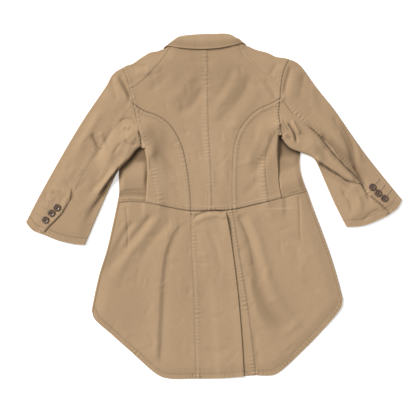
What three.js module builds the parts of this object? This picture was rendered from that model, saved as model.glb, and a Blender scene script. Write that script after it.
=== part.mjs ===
import * as THREE from "three";

// A tailcoat jacket of tan twill, laid out flat on its front and seen from the back.
// X runs across the back, Y from the tails up to the collar, Z up from the surface it lies on.
// Units are millimetres. The origin lies on that surface, under the middle of the jacket.

// Driving dimensions
const CLOTH = 1.2;
const LAYER = 1.75;
const HALF_SEAM_GAP = 0.28;
const FLOOR_SHEET = CLOTH / 2;
const CURVE_STEP = 2;
const TOP_STEP = 20;
const SKIRT_STEP = 25;
const CURVED_STEP = 16;
const UNDER_STEP = 40;
const ARC_STEPS = 3;
const FOLD_PROBE = 2.2;

// Heights of the middle of the cloth over the surface
const LEVEL = {
  floor: FLOOR_SHEET,
  second: FLOOR_SHEET + LAYER,
  third: FLOOR_SHEET + 2 * LAYER,
  skirt: 3.2,
  skirtMiddle: 4.4,
  back: 4.4,
  sleeve: 3.5,
  armpit: 6.1,
  sleeveBelowArmpit: 4.2,
  tuck: 5.95,
};

// The front edges pass each other by this much on each side of the middle
const FRONT_MIDDLE = -8;
const FRONT_LAP = 19;
const FRONT_RISE = 22;
const FRONT_CLEARANCE = 3;
const HEM_RISE = 24;
const BACK_RISE = 45;
const SLEEVES = { from: 190, full: 250 };

// The open edge at the tail laps over the strip below it
const VENT_LAP = 48;
const VENT_RISE = 22;
const VENT_CLEARANCE = 2;
const UNDERLAP_CORNER = [-18, -15];

// The underarm tucks
const TUCK = { top: 26, waist: 12, clearance: 4, rampOut: 12, rampIn: 28, fade: 38, above: 170, gone: 215 };

// The armpits, where the sleeves lie over the side panels
const ARMPIT = { flat: 27, fade: 76 };

// The collar: how its fall rises from the free edge, where across is 0, to the roll
const COLLAR_CLEARANCE = 0.25;
const COLLAR_SECTION = [
  { across: 0, rise: 0 },
  { across: 0.33, rise: 1.0 },
  { across: 0.66, rise: 2.0 },
  { across: 0.88, rise: 2.4 },
  { across: 1, rise: 1.6 },
];

// How far outside the collar's end a front still lies raised
const LEAF_RISE = { from: 2, full: 20 };

// The strip under the fall, by its corners, drawn in from the neck seam and from the roll
const STAND = {
  lowLeft: [-78, 383.4],
  lowRight: [36, 386.4],
  highLeft: [-78, 399.6],
  highRight: [38, 402.4],
  seamInset: 0.1,
  rollInset: 1.1,
  rise: 0.9,
};

// The cuff buttons
const BUTTON = { radius: 8.5, thickness: 2.6, hole: 1.1, spread: 2.1, gap: 0.3, sides: 20, holeSides: 6 };

// Seams and edges of the jacket's left half, which is on the left from behind
const LEFT = {
  side: "left",
  inward: 1,
  shoulderEdge: [
    [-121, 369.5], [-134, 365], [-150, 362], [-172, 349], [-193, 335], [-204, 332], [-215, 326],
  ],
  neckEdge: [[-100, 377.5], [-112, 372.5], [-121, 369.5]],
  shoulderSeam: [[-100, 377.5], [-118, 349], [-150, 312], [-172, 291], [-196, 274]],
  sleeveOuter: [
    [-215, 326], [-228, 319], [-240, 308], [-251, 287], [-307, 204], [-363, 110], [-415, 16],
    [-442, -37],
  ],
  cuff: [[-442, -37], [-425, -56], [-404, -64], [-367, -79], [-327, -88], [-303, -90]],
  sleeveInner: [
    [-169, 142], [-181, 134], [-197, 114], [-222, 87], [-244, 45], [-268, -8], [-291, -62],
    [-303, -90],
  ],
  armhole: [[-215, 326], [-204, 302], [-196, 274], [-188, 241], [-180, 199], [-173, 171], [-169, 142]],
  lowerArmhole: [[-215, 326], [-204, 286], [-195, 251], [-189, 205], [-178, 168], [-169, 142]],
  forearmSeam: [[-189, 205], [-222, 150], [-262, 85], [-300, 10], [-345, -84]],
  elbowSeam: [[-190, 248], [-209, 215], [-249, 164], [-291, 103], [-338, 16], [-367, -29], [-404, -64]],
  princess: [
    [-188, 241], [-164, 225], [-134, 214], [-108, 197], [-89, 172], [-73, 136], [-62, 84],
    [-56, 35], [-54, -10],
  ],
  sideSeam: [[-173, 171], [-156, 131], [-146, 86], [-142, 58], [-133, 5]],
  tuckEdge: [[-165, 147], [-159, 117], [-156, 86], [-157, 56], [-160, 9.4]],
  sunkTop: [[-165, 150], [-214, 140]],
  sideEdge: [[-214, 140], [-217, 112], [-223, 86], [-223, 30], [-227, 9]],
  frontSide: [
    [-215, 326], [-204, 286], [-195, 251], [-189, 205], [-197, 161], [-214, 130], [-223, 86],
    [-223, 30], [-227, 9],
  ],
  waist: [[-227, 9], [-193, 12], [-150, 8], [-103, -2], [-54, -10], [-4, -10]],
  frontWaist: [[-227, 9], [-120, 4], [11, 0]],
  neckline: [[-121, 369.5], [-94, 338], [-60, 292], [-24, 244], [7, 205]],
  frontEdge: [[7, 205], [11, 100], [11, 0]],
  skirtEdge: [[-227, 9], [-237, -38], [-251, -99], [-270, -161], [-283, -219], [-288, -246]],
  hem: [[-42, -404], [-103, -404], [-129, -397], [-197, -339], [-244, -297], [-280, -264], [-288, -246]],
  ventSeam: [[-54, -10], [-52, -102], [-47, -196], [-44, -313], [-42, -404]],
  skirtFrontEdge: [[11, 0], [11, -119]],
  collarEnd: [[-119, 373], [-85, 398]],
  leafOuter: [[-119, 373], [-113, 335], [-90, 298], [-64, 268]],
  leafInner: [[-85, 398], [-68, 355], [-50, 318], [-36, 294]],
  armpit: [[-172, 150], [-216, 104]],
  buttons: [[-368, -2], [-381, -15], [-395, -31]],
};

// Seams and edges of the right half
const RIGHT = {
  side: "right",
  inward: -1,
  shoulderEdge: [[80, 376.5], [101, 368], [127, 361], [146, 352], [167, 349], [176, 346]],
  neckEdge: [[56, 385], [68, 381], [80, 376.5]],
  shoulderSeam: [[56, 385], [64, 364], [76, 345], [94, 328], [118, 313], [139, 300], [157, 281]],
  sleeveOuter: [
    [176, 346], [190, 341], [202, 332], [242, 278], [283, 227], [348, 133], [423, 39], [442, 16],
  ],
  cuff: [[442, 16], [430, -4], [414, -16], [385, -32], [348, -45], [311, -48]],
  sleeveInner: [
    [157, 161], [179, 137], [209, 125], [228, 117], [239, 105], [261, 57], [284, 5], [311, -48],
  ],
  armhole: [[176, 346], [164, 319], [157, 281], [155, 253], [152, 218], [155, 187], [157, 161]],
  lowerArmhole: [[176, 346], [170, 310], [166, 270], [163, 230], [161, 200], [157, 161]],
  forearmSeam: [[163, 230], [205, 178], [258, 105], [305, 30], [352, -44]],
  elbowSeam: [[155, 255], [176, 230], [212, 196], [263, 146], [315, 90], [364, 24], [414, -16]],
  princess: [
    [155, 253], [132, 241], [103, 227], [78, 205], [59, 177], [48, 143], [44, 98], [43, 39],
    [45, -7],
  ],
  sideSeam: [[155, 187], [136, 159], [123, 124], [121, 86], [129, 13]],
  tuckEdge: [[152, 172], [150, 129], [151, 91], [152, 60], [158, 22]],
  sunkTop: [[152, 172], [204, 158]],
  sideEdge: [[204, 158], [204, 133], [201, 110], [203, 84], [212, 53], [219, 36]],
  frontSide: [
    [176, 346], [170, 310], [166, 270], [163, 230], [161, 200], [176, 176], [196, 158],
    [203, 133], [201, 110], [203, 84], [212, 53], [219, 36],
  ],
  waist: [[219, 36], [179, 26], [127, 12], [89, 3], [45, -7], [-4, -10]],
  frontWaist: [[219, 36], [100, 14], [-27, 0]],
  neckline: [[80, 376.5], [60, 338], [32, 292], [0, 244], [-27, 205]],
  frontEdge: [[-27, 205], [-27, 100], [-27, 0]],
  skirtEdge: [[219, 36], [235, -9], [254, -59], [275, -118], [294, -182], [303, -219]],
  hem: [[99, -396], [122, -397], [146, -393], [209, -338], [261, -284], [298, -237], [303, -219]],
  ventSeam: [[45, -7], [54, -71], [65, -139], [75, -200], [86, -278], [94, -344], [99, -396]],
  skirtFrontEdge: [[-27, 0], [-27, -121]],
  collarEnd: [[76, 380], [56, 392]],
  leafOuter: [[76, 380], [78, 340], [60, 300], [36, 268]],
  leafInner: [[56, 392], [40, 350], [22, 318], [8, 294]],
  armpit: [[160, 160], [206, 128]],
  buttons: [[371, 46], [384, 32], [399, 20]],
};

// Seams and edges of the middle
const MIDDLE = {
  neckSeam: [[-100, 377.5], [-80, 383], [-33, 386], [14, 387], [56, 385]],
  centreSeam: [[-14, 386], [-14, 274], [-12, 180], [-7, 91], [-4, -10]],
  collarLow: [
    [-119, 373], [-108, 376], [-80, 372], [-33, 369], [14, 372], [52, 380], [68, 384], [76, 380],
  ],
  collarRoll: [[-85, 398], [-66, 401], [-28, 404], [0, 404.5], [26, 405], [40, 402], [56, 392]],
  flapEdge: [[27, -12], [35, -50], [45, -118], [56, -208], [65, -313], [70, -399]],
  flapHem: [[-42, -404], [-9, -404], [33, -402], [70, -399]],
  underlapHem: [[22, -401], [70, -398], [99, -396]],
  frontHem: [
    [-288, -246], [-262, -236], [-225, -205], [-180, -172], [-120, -143], [-60, -126], [0, -119],
    [70, -122], [135, -136], [195, -160], [240, -188], [280, -212], [303, -219],
  ],
};

// The larger creases of the cloth that lies on top: a valley has a low line between two soft
// shoulders, a ridge stands up, and fade is the share of its length over which each end dies out
const CREASES = [
  {
    kind: "valley", width: 11, height: 1.5, fade: [0.02, 0.1],
    along: [[-56, -22], [-103, -78], [-122, -184], [-132, -374]],
  },
  {
    kind: "valley", width: 11, height: 1.0, fade: [0.05, 0.4],
    along: [[-150, -20], [-197, -78], [-263, -182]],
  },
  {
    kind: "valley", width: 13, height: 1.6, fade: [0.02, 0.3],
    along: [[52, -12], [101, -125], [146, -262], [190, -302]],
  },
  {
    kind: "valley", width: 12, height: 0.8, fade: [0.2, 0.4],
    along: [[113, -41], [179, -85], [209, -161]],
  },
  {
    kind: "valley", width: 9, height: 0.7, fade: [0.02, 0.3],
    along: [[-206, -1], [-202, -67], [-207, -116]],
  },
  {
    kind: "valley", width: 9, height: 0.7, fade: [0.02, 0.3],
    along: [[199, 23], [202, -59], [204, -95]],
  },
  {
    kind: "ridge", width: 13, height: 1.0, fade: [0.3, 0.3],
    along: [[-153, 215], [-141, 145], [-89, 70]],
  },
  { kind: "ridge", width: 13, height: 0.9, fade: [0.3, 0.3], along: [[134, 192], [101, 98], [89, 74]] },
  { kind: "ridge", width: 14, height: 0.9, fade: [0.3, 0.3], along: [[82, 321], [19, 215], [5, 185]] },
  {
    kind: "ridge", width: 12, height: 0.8, fade: [0.3, 0.3],
    along: [[-33, 270], [-56, 237], [-85, 227]],
  },
  {
    kind: "ridge", width: 10, height: 1.2, fade: [0.3, 0.3],
    along: [[-233, 309], [-207, 265], [-195, 244]],
  },
  {
    kind: "ridge", width: 10, height: 1.2, fade: [0.3, 0.3],
    along: [[195, 331], [183, 286], [176, 241]],
  },
  {
    kind: "ridge", width: 12, height: 1.4, fade: [0.1, 0.3],
    along: [[-226, 98], [-256, 39], [-315, -29]],
  },
  {
    kind: "valley", width: 10, height: 1.2, fade: [0.2, 0.3],
    along: [[284, 223], [315, 164], [340, 80], [369, 2]],
  },
  {
    kind: "ridge", width: 11, height: 1.6, fade: [0.15, 0.15],
    along: [[238, 116], [280, 92], [331, 60]],
  },
  { kind: "valley", width: 9, height: 0.9, fade: [0.2, 0.3], along: [[-284, 171], [-268, 129]] },
];
const SHOULDER_REACH = 3;

const { smoothstep, lerp, clamp } = THREE.MathUtils;

// Plan curves

// The smooth curve through a short table of points, as closely spaced points.
function curve(points) {
  const through = points.map(([x, y]) => new THREE.Vector3(x, y, 0));
  const spline = new THREE.CatmullRomCurve3(through, false, "centripetal");
  const steps = Math.max(2, Math.ceil(spline.getLength() / CURVE_STEP));
  return spline.getSpacedPoints(steps).map((p) => [p.x, p.y]);
}

function curves(table) {
  const made = {};
  for (const [name, value] of Object.entries(table)) {
    const isCurve = Array.isArray(value) && Array.isArray(value[0]) && name !== "buttons";
    made[name] = isCurve ? curve(value) : value;
  }
  return made;
}

function last(line) {
  return line[line.length - 1];
}

function reversed(line) {
  return [...line].reverse();
}

function distance(a, b) {
  return Math.hypot(a[0] - b[0], a[1] - b[1]);
}

function length(line) {
  let total = 0;
  for (let i = 1; i < line.length; i += 1) total += distance(line[i - 1], line[i]);
  return total;
}

// The stretch of a line from its point nearest to one place to that nearest to another.
function stretch(line, from, to) {
  const nearest = (place) => {
    let best = 0;
    line.forEach((point, i) => {
      if (distance(point, place) < distance(line[best], place)) best = i;
    });
    return best;
  };
  const a = nearest(from);
  const b = nearest(to);
  const piece = a <= b ? line.slice(a, b + 1) : line.slice(b, a + 1).reverse();
  return [from, ...piece.slice(1, -1), to];
}

// Points along a line, each a given share of the way.
function pointsAlong(line, shares) {
  const reach = [0];
  for (let i = 1; i < line.length; i += 1) reach.push(reach[i - 1] + distance(line[i - 1], line[i]));
  const total = last(reach);
  let i = 1;
  return shares.map((share) => {
    const at = share * total;
    while (i < line.length - 1 && reach[i] < at) i += 1;
    const t = (at - reach[i - 1]) / (reach[i] - reach[i - 1] || 1);
    return [lerp(line[i - 1][0], line[i][0], t), lerp(line[i - 1][1], line[i][1], t)];
  });
}

function evenShares(cells) {
  return Array.from({ length: cells + 1 }, (_, i) => i / cells);
}

function cellsFor(size, step) {
  return Math.max(2, Math.round(size / step));
}

// A patch between four lines: rows run from first to last, columns from near to far.
function patch({ first, last, near, far }, rowShares, columnShares) {
  const n = pointsAlong(near, rowShares);
  const f = pointsAlong(far, rowShares);
  const a = pointsAlong(first, columnShares);
  const b = pointsAlong(last, columnShares);
  const rows = rowShares.length - 1;
  const columns = columnShares.length - 1;
  return rowShares.map((v, i) =>
    columnShares.map((u, j) =>
      [0, 1].map((k) => {
        const across = lerp(n[i][k], f[i][k], u);
        const along = lerp(a[j][k], b[j][k], v);
        const ends = lerp(lerp(n[0][k], f[0][k], u), lerp(n[rows][k], f[rows][k], u), v);
        if (j === 0) return n[i][k];
        if (j === columns) return f[i][k];
        return across + along - ends;
      }),
    ),
  );
}

// The y of a curve that runs across, at a given x, and the x of one that runs along, at a given y.
function crossing(line, at, key, value) {
  const ordered = last(line)[key] > line[0][key] ? line : reversed(line);
  const place = clamp(at, ordered[0][key], last(ordered)[key]);
  let i = 1;
  while (i < ordered.length - 1 && ordered[i][key] < place) i += 1;
  const t = (place - ordered[i - 1][key]) / (ordered[i][key] - ordered[i - 1][key] || 1);
  return lerp(ordered[i - 1][value], ordered[i][value], clamp(t, 0, 1));
}

// The distance from a line, negative to its right, and the share of it passed.
function besideLine(line, x, y) {
  let best = { away: Infinity, share: 0, side: 1 };
  for (let i = 1; i < line.length; i += 1) {
    const [ax, ay] = line[i - 1];
    const dx = line[i][0] - ax;
    const dy = line[i][1] - ay;
    const t = clamp(((x - ax) * dx + (y - ay) * dy) / (dx * dx + dy * dy), 0, 1);
    const away = Math.hypot(x - ax - t * dx, y - ay - t * dy);
    if (away < best.away) {
      const side = dx * (y - ay) - dy * (x - ax) >= 0 ? 1 : -1;
      best = { away, share: (i - 1 + t) / (line.length - 1), side };
    }
  }
  return best;
}

const left = curves(LEFT);
const right = curves(RIGHT);
const middle = curves(MIDDLE);
const creases = CREASES.map((crease) => ({ ...crease, line: curve(crease.along) }));

// Heights

function creaseHeight({ kind, width, height, fade, line }, x, y) {
  const { away, share } = besideLine(line, x, y);
  if (away > 4 * width) return 0;
  const ends = smoothstep(share, 0, fade[0]) * (1 - smoothstep(share, 1 - fade[1], 1));
  const bump = Math.exp(-((away / width) ** 2));
  if (kind === "ridge") return height * ends * bump;
  return height * ends * (1 - bump) * Math.exp(-((away / (SHOULDER_REACH * width)) ** 2));
}

// How much of the front skirt's height the cloth above it has at a place: none past its hem.
function overFrontSkirt(x, y) {
  const hem = crossing(middle.frontHem, x, 0, 1);
  return smoothstep(y, hem - HEM_RISE, hem - 1);
}

// 1 over the lap of the two fronts, 0 away from it.
function overFrontLap(x) {
  const clear = FRONT_LAP + FRONT_CLEARANCE;
  return 1 - smoothstep(Math.abs(x - FRONT_MIDDLE), clear, clear + FRONT_RISE);
}

function tuckBump(half, x, y) {
  const inside = (x - crossing(half.tuckEdge, y, 1, 0)) * half.inward;
  const rise = smoothstep(inside, -TUCK.rampOut, 0);
  const clear = TUCK.top + TUCK.clearance;
  const fall = smoothstep(inside, clear, clear + TUCK.rampIn);
  const along = smoothstep(y, -TUCK.fade, 0) * (1 - smoothstep(y, TUCK.above, TUCK.gone));
  return (rise - fall) * along;
}

function armpitBump(half, x, y) {
  return 1 - smoothstep(besideLine(half.armpit, x, y).away, ARMPIT.flat, ARMPIT.fade);
}

// The middle of the cloth that lies on top, for all its pieces.
function top(x, y) {
  const skirt = lerp(
    LEVEL.floor,
    lerp(LEVEL.skirt, LEVEL.skirtMiddle, overFrontLap(x)),
    overFrontSkirt(x, y),
  );
  const sleeves = smoothstep(Math.abs(x - FRONT_MIDDLE), SLEEVES.from, SLEEVES.full);
  const bodice = lerp(LEVEL.back, LEVEL.sleeve, sleeves);
  let height = lerp(skirt, bodice, smoothstep(y, 0, BACK_RISE));
  for (const half of [left, right]) {
    height = lerp(height, LEVEL.tuck, tuckBump(half, x, y));
    height = lerp(height, LEVEL.armpit, armpitBump(half, x, y));
  }
  for (const crease of creases) height += creaseHeight(crease, x, y);
  return height;
}

// The lower wall of a sleeve, which climbs over the side panel at the armpit.
function sleeveBelow(half) {
  return (x, y) => lerp(LEVEL.floor, LEVEL.sleeveBelowArmpit, armpitBump(half, x, y));
}

// A front, which climbs over the collar's end, and on the left over the other front.
function frontHeight(half) {
  const lapStart = FRONT_MIDDLE - FRONT_LAP - FRONT_CLEARANCE;
  return (x, y) => {
    const collar = collarBelow(half, x, y);
    const lap = half.side === "left" ? smoothstep(x, lapStart - FRONT_RISE, lapStart) : 0;
    return lerp(LEVEL.floor, LEVEL.second, Math.max(collar, lap));
  };
}

// 1 where the collar's end lies under the front, 0 away from it.
function collarBelow(half, x, y) {
  const leaf = besideLine(half.leafOuter, x, y);
  const outside = leaf.side * half.inward < 0 ? leaf.away : 0;
  const beyond = Math.max(0, last(half.leafOuter)[1] - y);
  return 1 - smoothstep(Math.max(outside, beyond), LEAF_RISE.from, LEAF_RISE.full);
}

function lappedTop(x, y) {
  const { away } = besideLine(middle.flapEdge, x, y);
  const clear = VENT_LAP + VENT_CLEARANCE;
  return top(x, y) + LAYER * (1 - smoothstep(away, clear, clear + VENT_RISE));
}

// Walls of cloth

function minus(a, b) {
  return a.map((value, k) => value - b[k]);
}

function moved(a, b, scale) {
  return a.map((value, k) => value + b[k] * scale);
}

function dot(a, b) {
  return a.reduce((sum, value, k) => sum + value * b[k], 0);
}

function unit(a) {
  const size = Math.hypot(...a);
  return a.map((value) => value / size);
}

function cross(a, b) {
  return [a[1] * b[2] - a[2] * b[1], a[2] * b[0] - a[0] * b[2], a[0] * b[1] - a[1] * b[0]];
}

// Joins patches into one grid of points. Where one patch ends and the next begins, on the same
// plan line, the cloth turns over in a half circle that reaches out to that line.
function foldTogether(patches) {
  const rows = patches[0].grid.length;
  const lines = Array.from({ length: rows }, () => []);
  patches.forEach(({ grid, height }, k) => {
    const next = patches[k + 1];
    const before = patches[k - 1];
    for (let i = 0; i < rows; i += 1) {
      const row = grid[i].map(([x, y]) => [x, y, height(x, y, i)]);
      if (before) row[0] = lines[i].pop();
      if (!next) {
        lines[i].push(...row);
        continue;
      }
      const last = row.length - 1;
      const edge = grid[i][last];
      const above = grid[Math.max(0, i - 1)][last];
      const below = grid[Math.min(rows - 1, i + 1)][last];
      const tangent = unit(minus(below, above));
      let out = [tangent[1], -tangent[0]];
      if (dot(out, minus(edge, grid[i][last - 1])) < 0) out = moved([0, 0], out, -1);
      const inner = moved(edge, out, -FOLD_PROBE);
      const upper = height(inner[0], inner[1], i);
      const lower = next.height(inner[0], inner[1], i);
      const radius = Math.abs(upper - lower) / 2;
      const centre = moved(edge, out, -radius - CLOTH / 2);
      row[last] = [...centre, upper];
      for (let step = 1; step <= ARC_STEPS; step += 1) {
        const angle = (Math.PI * step) / ARC_STEPS;
        const place = moved(centre, out, radius * Math.sin(angle));
        row.push([...place, (upper + lower) / 2 + ((upper - lower) / 2) * Math.cos(angle)]);
      }
      lines[i].push(...row);
    }
  });
  return lines;
}

// Draws the four edges of a grid in by half of the gap that the pieces keep at a seam.
function drawIn(grid) {
  const rows = grid.length;
  const columns = grid[0].length;
  const result = grid.map((row) => row.map((point) => [...point]));
  const pull = (i, j, inner, a, b) => {
    const along = unit(minus(b, a));
    const towards = minus(inner, grid[i][j]);
    const square = moved(towards, along, -dot(towards, along));
    result[i][j] = moved(result[i][j], unit(square), HALF_SEAM_GAP);
  };
  for (let j = 0; j < columns; j += 1) {
    const a = Math.max(0, j - 1);
    const b = Math.min(columns - 1, j + 1);
    pull(0, j, grid[1][j], grid[0][a], grid[0][b]);
    pull(rows - 1, j, grid[rows - 2][j], grid[rows - 1][a], grid[rows - 1][b]);
  }
  for (let i = 0; i < rows; i += 1) {
    const a = Math.max(0, i - 1);
    const b = Math.min(rows - 1, i + 1);
    pull(i, 0, grid[i][1], grid[a][0], grid[b][0]);
    pull(i, columns - 1, grid[i][columns - 2], grid[a][columns - 1], grid[b][columns - 1]);
  }
  return result;
}

// A closed wall, half of the cloth's thickness to each side of a grid of points.
function wall(grid) {
  const rows = grid.length;
  const columns = grid[0].length;
  const at = (i, j) => grid[clamp(i, 0, rows - 1)][clamp(j, 0, columns - 1)];
  const sides = [1, -1].map((sign) =>
    grid.map((row, i) =>
      row.map((point, j) => {
        const down = minus(at(i + 1, j), at(i - 1, j));
        const across = minus(at(i, j + 1), at(i, j - 1));
        const [x, y, z] = moved(point, unit(cross(down, across)), (sign * CLOTH) / 2);
        return [x, y, Math.max(z, 0)];
      }),
    ),
  );
  const positions = sides.flat(2).flat();
  const index = [];
  const id = (side, i, j) => side * rows * columns + i * columns + j;
  const quad = (a, b, c, d) => index.push(a, b, c, a, c, d);
  for (let i = 0; i < rows - 1; i += 1) {
    for (let j = 0; j < columns - 1; j += 1) {
      quad(id(0, i, j), id(0, i + 1, j), id(0, i + 1, j + 1), id(0, i, j + 1));
      quad(id(1, i, j), id(1, i, j + 1), id(1, i + 1, j + 1), id(1, i + 1, j));
    }
  }
  for (let i = 0; i < rows - 1; i += 1) {
    quad(id(0, i, 0), id(1, i, 0), id(1, i + 1, 0), id(0, i + 1, 0));
    quad(id(0, i + 1, columns - 1), id(1, i + 1, columns - 1), id(1, i, columns - 1), id(0, i, columns - 1));
  }
  for (let j = 0; j < columns - 1; j += 1) {
    quad(id(0, 0, j + 1), id(1, 0, j + 1), id(1, 0, j), id(0, 0, j));
    quad(id(0, rows - 1, j), id(1, rows - 1, j), id(1, rows - 1, j + 1), id(0, rows - 1, j + 1));
  }
  const geometry = new THREE.BufferGeometry();
  geometry.setAttribute("position", new THREE.Float32BufferAttribute(positions, 3));
  geometry.setIndex(index);
  return geometry;
}

// A piece of cloth in one or more patches. Each has its four lines and the height of its middle.
function clothPiece(patches, step = TOP_STEP) {
  const { near, far } = patches[0].lines;
  const rowShares = evenShares(cellsFor(Math.max(length(near), length(far)), step));
  const made = patches.map(({ lines, height, columnStep = step }) => {
    const wide = Math.max(length(lines.first), length(lines.last));
    return { grid: patch(lines, rowShares, evenShares(cellsFor(wide, columnStep))), height };
  });
  return wall(drawIn(foldTogether(made)));
}

// Pieces

function centreBack(half) {
  const waistEnd = last(half.princess);
  const armholePart = stretch(half.armhole, last(half.shoulderSeam), half.princess[0]);
  const outer = [...armholePart, ...half.princess.slice(1)];
  const neck = stretch(middle.neckSeam, middle.centreSeam[0], half.shoulderSeam[0]);
  return clothPiece([
    {
      lines: {
        near: middle.centreSeam,
        far: outer,
        first: [...neck, ...half.shoulderSeam.slice(1)],
        last: stretch(half.waist, last(middle.centreSeam), waistEnd),
      },
      height: top,
    },
  ], CURVED_STEP);
}

function sideBack(half) {
  return clothPiece([
    {
      lines: {
        near: half.princess,
        far: half.sideSeam,
        first: stretch(half.armhole, half.princess[0], half.sideSeam[0]),
        last: stretch(half.waist, last(half.princess), last(half.sideSeam)),
      },
      height: top,
    },
  ], CURVED_STEP);
}

// The side panel's top strip, the two hidden layers of its tuck, and the part that lies sunk.
function sidePanel(half) {
  const { sideSeam, tuckEdge, sideEdge } = half;
  const share = evenShares(tuckEdge.length - 1);
  const innerFold = tuckEdge.map(([x, y], i) => [x + half.inward * lerp(TUCK.top, TUCK.waist, share[i]), y]);
  const line = (a, b) => [a, b];
  return clothPiece([
    {
      lines: {
        near: sideSeam,
        far: tuckEdge,
        first: line(sideSeam[0], tuckEdge[0]),
        last: stretch(half.waist, last(sideSeam), last(tuckEdge)),
      },
      height: top,
    },
    {
      lines: {
        near: tuckEdge,
        far: innerFold,
        first: line(tuckEdge[0], innerFold[0]),
        last: line(last(tuckEdge), last(innerFold)),
      },
      height: () => LEVEL.third,
    },
    {
      lines: {
        near: innerFold,
        far: sideEdge,
        first: [innerFold[0], ...half.sunkTop],
        last: [last(innerFold), ...stretch(half.waist, last(tuckEdge), last(sideEdge))],
      },
      height: () => LEVEL.second,
    },
  ]);
}

function front(half) {
  const { shoulderEdge, shoulderSeam } = half;
  return clothPiece([
    {
      lines: {
        near: shoulderSeam,
        far: shoulderEdge,
        first: half.neckEdge,
        last: stretch(half.armhole, last(shoulderSeam), last(shoulderEdge)),
      },
      height: top,
    },
    {
      lines: {
        near: shoulderEdge,
        far: reversed(half.frontWaist),
        first: [...half.neckline, ...half.frontEdge.slice(1)],
        last: half.frontSide,
      },
      height: frontHeight(half),
      columnStep: UNDER_STEP,
    },
  ], CURVED_STEP);
}

function skirt(half) {
  const { skirtEdge, ventSeam } = half;
  return clothPiece([
    {
      lines: {
        near: ventSeam,
        far: skirtEdge,
        first: stretch(half.waist, ventSeam[0], skirtEdge[0]),
        last: half.hem,
      },
      height: top,
    },
    {
      lines: {
        near: skirtEdge,
        far: half.skirtFrontEdge,
        first: half.frontWaist,
        last: stretch(middle.frontHem, last(skirtEdge), last(half.skirtFrontEdge)),
      },
      height: frontHeight(half),
      columnStep: UNDER_STEP,
    },
  ], SKIRT_STEP);
}

function centreTail() {
  return clothPiece([
    {
      lines: {
        near: left.ventSeam,
        far: middle.flapEdge,
        first: [...stretch(left.waist, left.ventSeam[0], last(left.waist)), middle.flapEdge[0]],
        last: middle.flapHem,
      },
      height: lappedTop,
    },
  ]);
}

function ventUnderlap() {
  const hidden = middle.flapEdge.map(([x, y]) => [x - VENT_LAP, y]);
  const from = UNDERLAP_CORNER;
  const to = right.ventSeam[0];
  return clothPiece([
    {
      lines: {
        near: [from, ...hidden.slice(2, -2), middle.underlapHem[0]],
        far: right.ventSeam,
        first: [from, to],
        last: middle.underlapHem,
      },
      height: top,
    },
  ]);
}

// The outer half of a sleeve, from the elbow seam round the outer edge to the forearm seam.
function topSleeve(half) {
  const { elbowSeam, sleeveOuter, forearmSeam } = half;
  return clothPiece([
    {
      lines: {
        near: elbowSeam,
        far: sleeveOuter,
        first: stretch(half.armhole, elbowSeam[0], sleeveOuter[0]),
        last: stretch(half.cuff, last(elbowSeam), last(sleeveOuter)),
      },
      height: top,
    },
    {
      lines: {
        near: sleeveOuter,
        far: forearmSeam,
        first: stretch(half.lowerArmhole, sleeveOuter[0], forearmSeam[0]),
        last: stretch(half.cuff, last(sleeveOuter), last(forearmSeam)),
      },
      height: sleeveBelow(half),
      columnStep: UNDER_STEP,
    },
  ]);
}

// The inner half of a sleeve, round the inner edge.
function underSleeve(half) {
  const { elbowSeam, sleeveInner, forearmSeam } = half;
  return clothPiece([
    {
      lines: {
        near: elbowSeam,
        far: sleeveInner,
        first: stretch(half.armhole, elbowSeam[0], sleeveInner[0]),
        last: stretch(half.cuff, last(elbowSeam), last(sleeveInner)),
      },
      height: top,
    },
    {
      lines: {
        near: sleeveInner,
        far: forearmSeam,
        first: stretch(half.lowerArmhole, sleeveInner[0], forearmSeam[0]),
        last: stretch(half.cuff, last(sleeveInner), last(forearmSeam)),
      },
      height: sleeveBelow(half),
      columnStep: UNDER_STEP,
    },
  ]);
}

// The collar's fall across the back, and its two ends, which turn under along the neckline.
function collarFall() {
  const rowShares = COLLAR_SECTION.map((row) => row.across);
  const band = {
    near: left.collarEnd,
    far: right.collarEnd,
    first: middle.collarLow,
    last: middle.collarRoll,
  };
  const leaf = (half, outward) => {
    const tip = [last(half.leafOuter), last(half.leafInner)];
    const outer = outward ? half.leafOuter : reversed(half.leafOuter);
    const inner = outward ? half.leafInner : reversed(half.leafInner);
    return outward
      ? { near: half.collarEnd, far: tip, first: outer, last: inner }
      : { near: tip, far: half.collarEnd, first: outer, last: inner };
  };
  const grid = (lines) => patch(lines, rowShares, evenShares(cellsFor(length(lines.first), TOP_STEP)));
  const flat = () => LEVEL.floor;
  const rising = (x, y, i) => {
    const under = top(x, crossing(middle.collarLow, x, 0, 1));
    return Math.max(under, LEVEL.back) + LAYER + COLLAR_CLEARANCE + COLLAR_SECTION[i].rise;
  };
  return wall(
    drawIn(
      foldTogether([
        { grid: grid(leaf(left, false)), height: flat },
        { grid: grid(band), height: rising },
        { grid: grid(leaf(right, true)), height: flat },
      ]),
    ),
  );
}

// The stand, a strip from the neck seam up to the roll, under the fall.
function collarStand() {
  const raised = (line, by) => line.map(([x, y]) => [x, y + by]);
  const low = raised(stretch(middle.neckSeam, STAND.lowLeft, STAND.lowRight), STAND.seamInset);
  const high = raised(stretch(middle.collarRoll, STAND.highLeft, STAND.highRight), -STAND.rollInset);
  const lines = { near: low, far: high, first: [low[0], high[0]], last: [last(low), last(high)] };
  const height = (x, y) => LEVEL.back + STAND.rise * smoothstep(y, low[0][1], high[0][1]);
  return clothPiece([{ lines, height }]);
}

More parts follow.
